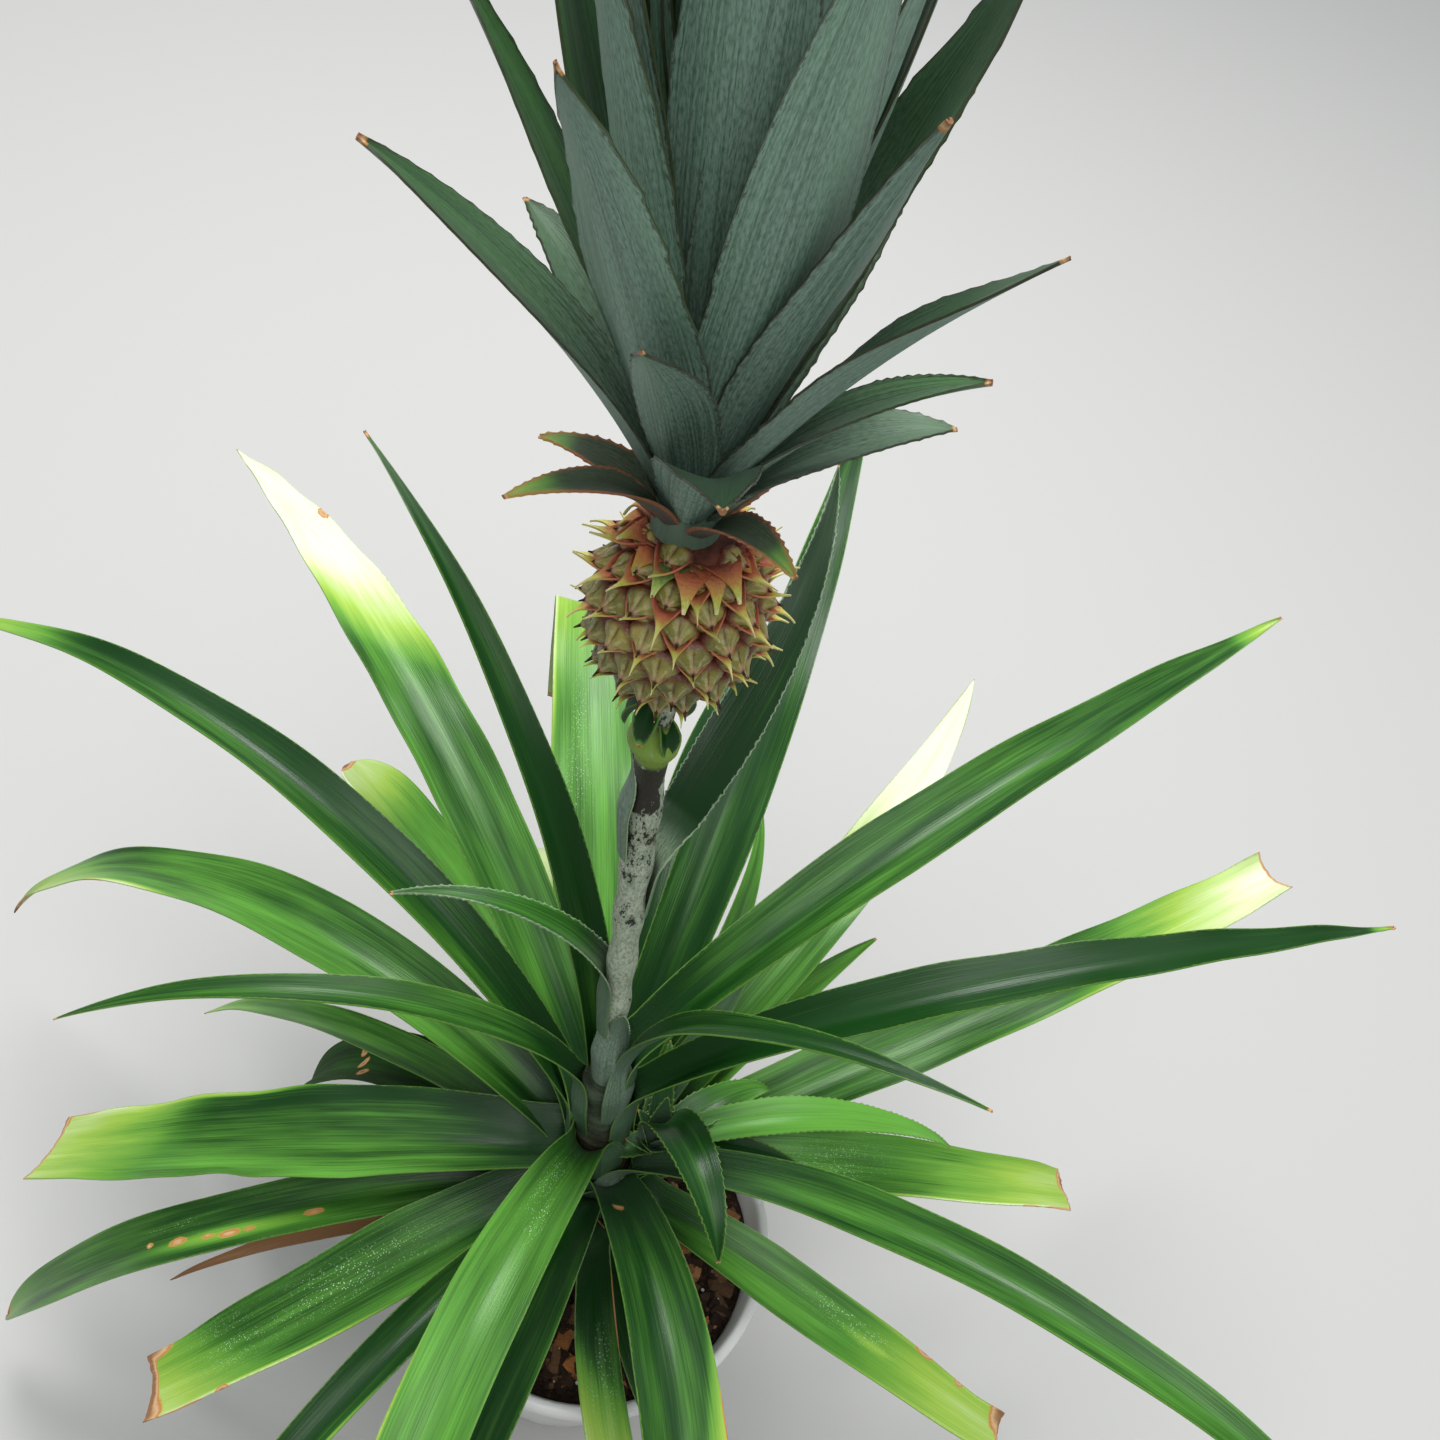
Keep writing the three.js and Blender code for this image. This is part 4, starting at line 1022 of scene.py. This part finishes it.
# Fruit: a young pineapple of eighty-four eyes in a spiral. Each eye is an olive pear shape whose
# three folds meet in a withered brown point, and a reddish bract cups it from below and ends in a
# thin yellow-green spine. At the top, broad rust-coloured scales hang over the eyes.
FRUIT_HEIGHT = 0.080
FRUIT_RADIUS = 0.034
FRUIT_RINGS = 31
FLESH_DEPTH = 0.0040
EYE_COUNT = 84
FIRST_EYE = 0.10
EYE_RADIUS = 0.0082
EYE_SINK = 0.0042
EYE_FOLDS = 3
BRACT_LENGTH = 0.0122
BRACT_WIDTH = 0.0135
BRACT_SINK = 0.0035
TOP_SCALES = 15
TOP_SCALE_LENGTH = 0.0165
TOP_SCALE_WIDTH = 0.0150


def fruit_radius(up):
    return FRUIT_RADIUS * math.sin(math.pi * (0.1 + 0.79 * up)) ** 0.62


fruit_foot = axis_point(FRUIT_BASE)
core_rings = []
for row in range(FRUIT_RINGS):
    up = row / (FRUIT_RINGS - 1)
    core_rings.append((fruit_foot + Vector((0, 0, FRUIT_HEIGHT * up)), fruit_radius(up) - FLESH_DEPTH))
core = raise_rings("fruit_core", core_rings, 48)
smooth(core, 60)

fruit_flesh, tree, shader = new_finish("fruit flesh between eyes", 0.75, 0.3)
where = place(tree)
mottle = grain(tree, where, 140.0, 4.0, 0.6)
flesh = ramp(tree, mottle, (0.35, 0.025, 0.007, 0.004), (0.65, 0.13, 0.035, 0.016))
feed(tree, shader, Base_Color=flesh, Normal=relief(tree, mottle, 0.0008))
fit(core, "fruit", fruit_flesh, "fruit")

clear_selection()
bpy.ops.mesh.primitive_uv_sphere_add(segments=30, ring_count=14, radius=1.0)
eye = bpy.context.object
eye_marks = {"reach": [], "groove": [], "stripe": []}
for vertex in eye.data.vertices:
    out = min(math.hypot(vertex.co.x, vertex.co.y), 1.0)
    turn = math.atan2(vertex.co.y, vertex.co.x)
    outer = vertex.co.z > 0
    fold = math.sin(0.5 * EYE_FOLDS * (turn + 0.52))
    groove = math.exp(-(fold / 0.24) ** 2) * math.sin(math.pi * out) ** 0.6
    eye_marks["reach"].append(1 - out if outer else 0.0)
    eye_marks["groove"].append(groove if outer else 0.0)
    eye_marks["stripe"].append(0.5 + 0.5 * math.cos(7 * turn + 1.5 * math.sin(2 * turn)))
    pleat = 1 - 0.06 * groove + 0.02 * math.cos(7 * turn) * out
    vertex.co.x *= pleat
    vertex.co.y *= pleat * 0.92
    if outer:
        vertex.co.z = 0.66 * vertex.co.z + 0.44 * math.exp(-(out / 0.30) ** 2) - 0.13 * groove
        vertex.co.y -= 0.24 * math.exp(-(out / 0.42) ** 2)
    else:
        vertex.co.z *= 0.6
set_marks(eye.data, eye_marks)
eye_template = [take_template(eye, eye_marks)]


def bract_sheet(curl, taper, cup):
    """A cupped triangle that runs out into a spine; curl bends its end down."""
    clear_selection()
    bpy.ops.mesh.primitive_grid_add(x_subdivisions=8, y_subdivisions=14, size=2)
    sheet = bpy.context.object
    set_marks(sheet.data, {"reach": [(vertex.co.y + 1) / 2 for vertex in sheet.data.vertices]})
    for vertex in sheet.data.vertices:
        across, reach = vertex.co.x, (vertex.co.y + 1) / 2
        half = 0.46 * math.exp(-(reach / taper) ** 2.0) + 0.06 * (1 - reach) + 0.006
        rise = cup * (across * half) ** 2 + 0.06 * math.sin(math.pi * reach) - curl * reach ** 2.2
        vertex.co = (across * half, reach - 0.35 * abs(curl) * reach ** 3, rise)
    wall = sheet.modifiers.new("thickness", "SOLIDIFY")
    wall.thickness = 0.045
    wall.offset = 0
    apply_modifiers(sheet)
    return take_template(sheet, ["reach"])


spine_templates = [bract_sheet(curl, 0.40, 1.5) for curl in (0.10, 0.42, -0.16)]
scale_templates = [bract_sheet(curl, 0.62, 0.5) for curl in (0.62, 0.40, 0.78)]

clear_selection()
bpy.ops.mesh.primitive_cone_add(vertices=7, radius1=0.34, radius2=0.06, depth=1.0)
withered_template = [knocked_about(0.07, 0.2, 5, cuts=2)]


def frame_at(point, out, up, size):
    """4 by 4 place with local Z out and local Y up, scaled."""
    out = out.normalized()
    side = up.cross(out).normalized()
    lift = out.cross(side)
    rows = [[side[i] * size[0], lift[i] * size[1], out[i] * size[2], point[i]] for i in range(3)]
    return Matrix(rows + [[0, 0, 0, 1]])


def bract_place(up, bearing, slope, long, wide, inset):
    """Where a bract sits: its root inside the fruit's skin, its length along the slope."""
    turn, slope = math.radians(bearing), math.radians(slope)
    out = Vector(around(turn, 1))
    along = out * math.cos(slope) + Vector((0, 0, math.sin(slope)))
    side = Vector((-math.sin(turn), math.cos(turn), 0))
    root = fruit_foot + out * (fruit_radius(up) - inset) + Vector((0, 0, FRUIT_HEIGHT * up))
    return frame_at(root, along.cross(side), along, (wide, long, long))


eye_places, bract_places, point_places, eye_tones, bract_tones = [], [], [], [], []
for i in range(EYE_COUNT):
    up = FIRST_EYE + (1 - FIRST_EYE) * (i + 0.6) / EYE_COUNT
    out = Vector(around(math.radians(GOLDEN_ANGLE * i), 1))
    lean = (fruit_radius(up - 0.02) - fruit_radius(up + 0.02)) / (0.04 * FRUIT_HEIGHT)
    normal = (out + Vector((0, 0, max(lean - 0.10, -0.45)))).normalized()
    skin = fruit_foot + out * fruit_radius(up) + Vector((0, 0, FRUIT_HEIGHT * up))
    rise = Vector((0, 0, 1))
    size = EYE_RADIUS * (0.88 + 0.12 * math.sin(math.pi * up) + 0.05 * chance(i, 8))
    eye_places.append(frame_at(skin - normal * EYE_SINK, normal, rise, (size, size, size)))
    tip_place = skin + normal * (1.02 * size - EYE_SINK) - rise * 0.26 * size
    point_places.append(frame_at(tip_place, normal - rise * 0.3, rise, (0.0032, 0.0032, 0.0046)))
    slope = -14 + 34 * up + 10 * chance(i, 3)
    long = BRACT_LENGTH * (1 + 0.55 * max(2 * up - 0.9, 0) + 0.12 * chance(i, 4))
    bract_places.append(bract_place(up - 0.07, GOLDEN_ANGLE * i, slope, long, BRACT_WIDTH, BRACT_SINK))
    # The tone rises with height, so the low eyes are darker: painted shade under the fruit's swell, with a
    # random scatter.
    eye_tones.append(min(max(0.10 + 0.75 * up + 0.3 * chance(i, 12), 0), 1))
    bract_tones.append(min(max(0.22 + 0.8 * up + 0.2 * chance(i, 13), 0), 1))
scale_places, scale_tones = [], []
for i in range(TOP_SCALES):
    bearing = 250 + 360 * i / TOP_SCALES + 6 * chance(i, 21)
    long = TOP_SCALE_LENGTH + 0.003 * chance(i, 22)
    slope = 2 + 14 * chance(i, 23)
    scale_places.append(bract_place(0.965, bearing, slope, long, TOP_SCALE_WIDTH, 0.004))
    scale_tones.append(1.0 if i == 0 else 0.35 + 0.35 * chance(i, 24))
eyes = strew("fruit_eyes", eye_template, eye_places, eye_tones)
smooth(eyes, 180)
bracts = strew("fruit_bracts", spine_templates, bract_places, bract_tones)
smooth(bracts, 50)
top_scales = strew("fruit_top_scales", scale_templates, scale_places, scale_tones)
smooth(top_scales, 50)
withered = strew("fruit_withered_points", withered_template, point_places, eye_tones)

eye_skin, tree, shader = new_finish("eye skin", 0.38, 0.4)
where = place(tree)
reach, tone, groove, stripe = (mark(tree, key) for key in ("reach", "tone", "groove", "stripe"))
streaks = grain(tree, where, 520.0, 4.0, 0.7)
patchy = grain(tree, where, 110.0, 3.0, 0.5)
# Real patches of ripeness, mixed with the eyes' tone, which holds painted shade on the lower eyes.
ripeness_and_shade = total(tree, (patchy, 0.7), (tone, 0.3))
olive = ramp(tree, ripeness_and_shade, (0.25, 0.055, 0.062, 0.010), (0.48, 0.17, 0.155, 0.028),
             (0.72, 0.34, 0.28, 0.070))
mealy = total(tree, (stripe, 0.35), streaks)
mealy = product(tree, between(tree, mealy, 0.64, 0.90), between(tree, reach, 0.15, 0.55, 0.05, 0.50))
powdered = blend(tree, mealy, olive, (0.44, 0.42, 0.22))
blush = between(tree, total(tree, reach, (streaks, 0.25)), 0.44, 0.16)
rosy = blend(tree, blush, powdered, (0.115, 0.028, 0.014))
folded = blend(tree, between(tree, groove, 0.35, 0.9, 0.0, 0.75), rosy, (0.10, 0.030, 0.015))
tanned = blend(tree, between(tree, reach, 0.66, 0.82, 0.0, 0.7), folded, (0.34, 0.20, 0.11))
tipped = blend(tree, between(tree, reach, 0.84, 0.95), tanned, (0.030, 0.012, 0.007))
feed(tree, shader, Base_Color=tipped, Roughness=between(tree, mealy, 0.0, 0.5, 0.27, 0.60),
     Normal=relief(tree, streaks, 0.0005))
fit(eyes, "fruit", eye_skin)


def bract_finish(name, threads, scale, detail, wear, ends, young, old, depth):
    """Skin that changes from root to spine along a ramp; the piece's tone picks young or old."""
    material, tree, shader = new_finish(name, 0.55, 0.4)
    fibres = grain(tree, stretch(tree, place(tree), *threads), scale, detail, 0.6)
    along = total(tree, mark(tree, "reach"), (fibres, wear), -0.5 * wear)
    mix = between(tree, mark(tree, "tone"), *ends)
    feed(tree, shader, Base_Color=blend(tree, mix, ramp(tree, along, *young), ramp(tree, along, *old)),
         Normal=relief(tree, fibres, depth))
    return material


salmon = [(0.06, 0.16, 0.030, 0.015), (0.26, 0.38, 0.095, 0.050), (0.42, 0.40, 0.17, 0.055),
          (0.60, 0.42, 0.40, 0.070), (0.92, 0.60, 0.54, 0.23)]
brownish = [(0.06, 0.060, 0.016, 0.008), (0.34, 0.15, 0.050, 0.022), (0.52, 0.22, 0.15, 0.030),
            (0.72, 0.36, 0.42, 0.035), (0.95, 0.48, 0.46, 0.12)]
bract_skin = bract_finish("bract skin", (1.0, 1.0, 1.0), 420.0, 4.0, 0.30, (0.62, 0.22), salmon,
                          brownish, 0.0005)
fit(bracts, "fruit", bract_skin)

rust = [(0.05, 0.14, 0.030, 0.014), (0.40, 0.34, 0.085, 0.030), (0.66, 0.40, 0.20, 0.035),
        (0.84, 0.40, 0.42, 0.070), (0.98, 0.60, 0.56, 0.28)]
green = [(0.05, 0.070, 0.050, 0.015), (0.35, 0.040, 0.085, 0.012), (0.60, 0.11, 0.19, 0.030),
         (0.80, 0.33, 0.42, 0.080), (0.98, 0.55, 0.60, 0.25)]
rust_scale = bract_finish("rust scale", (1.0, 1.0, 0.25), 900.0, 3.0, 0.40, (0.60, 0.90), rust, green, 0.0006)
fit(top_scales, "fruit", rust_scale)

dry_brown, tree, shader = new_finish("withered flower", 0.9, 0.2)
where = place(tree)
crumple = grain(tree, where, 700.0, 4.0, 0.6)
shrunken = ramp(tree, crumple, (0.35, 0.016, 0.007, 0.005), (0.65, 0.10, 0.050, 0.028))
feed(tree, shader, Base_Color=shrunken, Normal=relief(tree, crumple, 0.0008))
fit(withered, "fruit", dry_brown)


# Crown: the tuft of stiff leaves on the fruit, broad short ones at its foot that curl outwards,
# and long upright ones inside. Their backs are grey with mealy bloom, and the lowest have rusty
# margins. Each is grown like a rosette leaf from one short core, and they are joined.
CROWN_LEAVES = 30
CROWN_FILLERS = 20
CROWN_SHORTEST = 0.040
CROWN_LENGTH = 0.262
CROWN_LEAF_WIDTH = 0.036
CROWN_CORE_RADIUS = 0.013
CROWN_CORE_HEIGHT = 0.06
CROWN_CORE_RINGS = 13
CROWN_CORE_TAPER = 0.008
CROWN_FOOT_AGE = 0.84
SEAT_GAP = 0.0003

crown_back = leaf_finish("crown leaf mealy back", (0.010, 0.040, 0.014), (0.080, 0.22, 0.090),
                         (0.30, 0.45, 0.37), 0.66, 0.40, 0.00035, (0.035, 0.020, 0.010), 0.0008, 0.45)
crown_skin = leaf_finish("crown leaf upper skin", (0.006, 0.034, 0.006), (0.070, 0.23, 0.034),
                         (0.24, 0.34, 0.26), 0.14, 0.4, 0.0002, (0.035, 0.020, 0.010), 0.0008, 0.3)
crown_foot_back = leaf_finish("crown foot leaf back", (0.020, 0.012, 0.007), (0.075, 0.085, 0.035),
                              (0.17, 0.16, 0.13), 0.45, 0.5, 0.00035, (0.42, 0.12, 0.050), 0.0013, 0.3)
crown_foot_skin = leaf_finish("crown foot leaf skin", (0.012, 0.026, 0.007), (0.065, 0.13, 0.025),
                              (0.14, 0.17, 0.12), 0.15, 0.4, 0.0003, (0.40, 0.12, 0.045), 0.0012, 0.3)
crown_core_rings = []
for ring in range(CROWN_CORE_RINGS):
    up = ring / (CROWN_CORE_RINGS - 1)
    height = SEAT_GAP + CROWN_CORE_HEIGHT * up
    crown_core_rings.append(((0, 0, height), CROWN_CORE_RADIUS - CROWN_CORE_TAPER * up))
crown_pieces = [raise_rings("crown_core", crown_core_rings, 24)]
dress_core(crown_pieces[0], 0.6, 0.1, [crown_skin, crown_back])
orders = list(range(CROWN_LEAVES)) + [CROWN_LEAVES - 3.5 - i for i in range(CROWN_FILLERS)]
for number, order in enumerate(orders):
    age = 1 - order / (CROWN_LEAVES - 1)
    grown = float(smooth_step(1 - age, -0.1, 0.72))
    filler = number >= CROWN_LEAVES
    at_foot = age > CROWN_FOOT_AGE
    leaf = dict(
        bearing=GOLDEN_ANGLE * order + 40,
        length=CROWN_SHORTEST + (CROWN_LENGTH - CROWN_SHORTEST) * grown + 0.008 * chance(order, 5),
        width=CROWN_LEAF_WIDTH * (0.72 + 0.28 * math.sin(math.pi * min(max(age, 0.2), 0.8))),
        rise=87 - 39 * age ** 1.3,
        fall=85 - 97 * float(smooth_step(age, 0.4, 1.0)),
        bend=1.2, fold=24, gutter=0, full=0.5, tone=0.25 + 0.2 * chance(order, 15), chalk=0.5, bloom=0.2,
        brown=0.012, teeth=0.0040)
    if filler:
        leaf.update(length=0.93 * leaf["length"], width=0.78 * leaf["width"], rise=leaf["rise"] + 3)
    if at_foot:
        leaf.update(fade=(0.62, 1.05), bleach=0.5, full=0.15, width=0.66 * leaf["width"])
    reach = 0.004 + (CROWN_CORE_RADIUS - 0.005) * age
    root = Vector(around(math.radians(leaf["bearing"]), reach, 0.046 - 0.043 * age))
    skins = [crown_foot_skin, crown_foot_back] if at_foot else [crown_skin, crown_back]
    crown_pieces.append(grow_leaf(f"crown_{number}", leaf, root, 70 + number, skins, 60, 12))
crown = join_pieces("crown_leaves", crown_pieces)
crown_foot = axis_point(FRUIT_BASE + FRUIT_HEIGHT) + Vector((0, 0, 0.001))
crown_lean = Matrix.Rotation(-math.atan(FRUIT_LEAN / (FRUIT_BASE - HEART_HEIGHT)), 4, "Y")
crown.data.transform(Matrix.Translation(crown_foot) @ crown_lean)
fit(crown, "crown_leaf", None, "crown")


# Studio: a pale floor, a soft sky that is brightest overhead, a broad lamp above and behind the
# plant, and the camera, which looks down on the plant from the front with a slight roll.
CAMERA_PLACE = Vector((-0.0131, -0.3864, 1.229))
CAMERA_PITCH = math.radians(49.5)
CAMERA_ROLL = math.radians(16.0)

clear_selection()
bpy.ops.mesh.primitive_plane_add(size=14)
floor = bpy.context.object
floor.name = "floor"
floor_paint, tree, shader = new_finish("pale floor", 0.8, 0.2)
shader.inputs["Base Color"].default_value = opaque((0.43, 0.425, 0.41))
floor.data.materials.append(floor_paint)

world = bpy.data.worlds.new("soft sky")
bpy.context.scene.world = world
world.use_nodes = True
sky = world.node_tree.nodes["Background"]
sky.inputs["Color"].default_value = opaque((0.92, 0.96, 1.0))
looking = wire(world.node_tree, "ShaderNodeTexCoord")["Generated"]
steepness = axes(world.node_tree, looking)["Z"]
feed(world.node_tree, sky, Strength=between(world.node_tree, steepness, 0.35, 0.98, 0.32, 1.18))


def hang_lamp(name, place, target, size, power):
    lamp_data = bpy.data.lights.new(name, "AREA")
    lamp_data.shape = "DISK"
    lamp_data.size = size
    lamp_data.energy = power
    lamp = bpy.data.objects.new(name, lamp_data)
    bpy.context.scene.collection.objects.link(lamp)
    lamp.location = place
    lamp.rotation_euler = (Vector(target) - Vector(place)).to_track_quat("-Z", "Y").to_euler()


hang_lamp("sky lamp", (-0.5, 1.5, 3.3), (0, 0.1, 0.4), 1.7, 112)
hang_lamp("front fill", (0.6, -1.4, 3.2), (0, 0, 0.4), 2.4, 46)

camera_data = bpy.data.cameras.new("camera")
camera_data.sensor_width = 36.0
camera_data.lens = 36.0
camera = bpy.data.objects.new("camera", camera_data)
bpy.context.scene.collection.objects.link(camera)
ahead = Vector((0, math.cos(CAMERA_PITCH), -math.sin(CAMERA_PITCH)))
level_up = Vector((0, math.sin(CAMERA_PITCH), math.cos(CAMERA_PITCH)))
right = Vector((1, 0, 0)) * math.cos(CAMERA_ROLL) + level_up * math.sin(CAMERA_ROLL)
top = right.cross(ahead)
camera.matrix_world = Matrix.Translation(CAMERA_PLACE) @ Matrix((right, top, -ahead)).transposed().to_4x4()
bpy.context.scene.camera = camera
bpy.context.scene.view_settings.view_transform = "Standard"
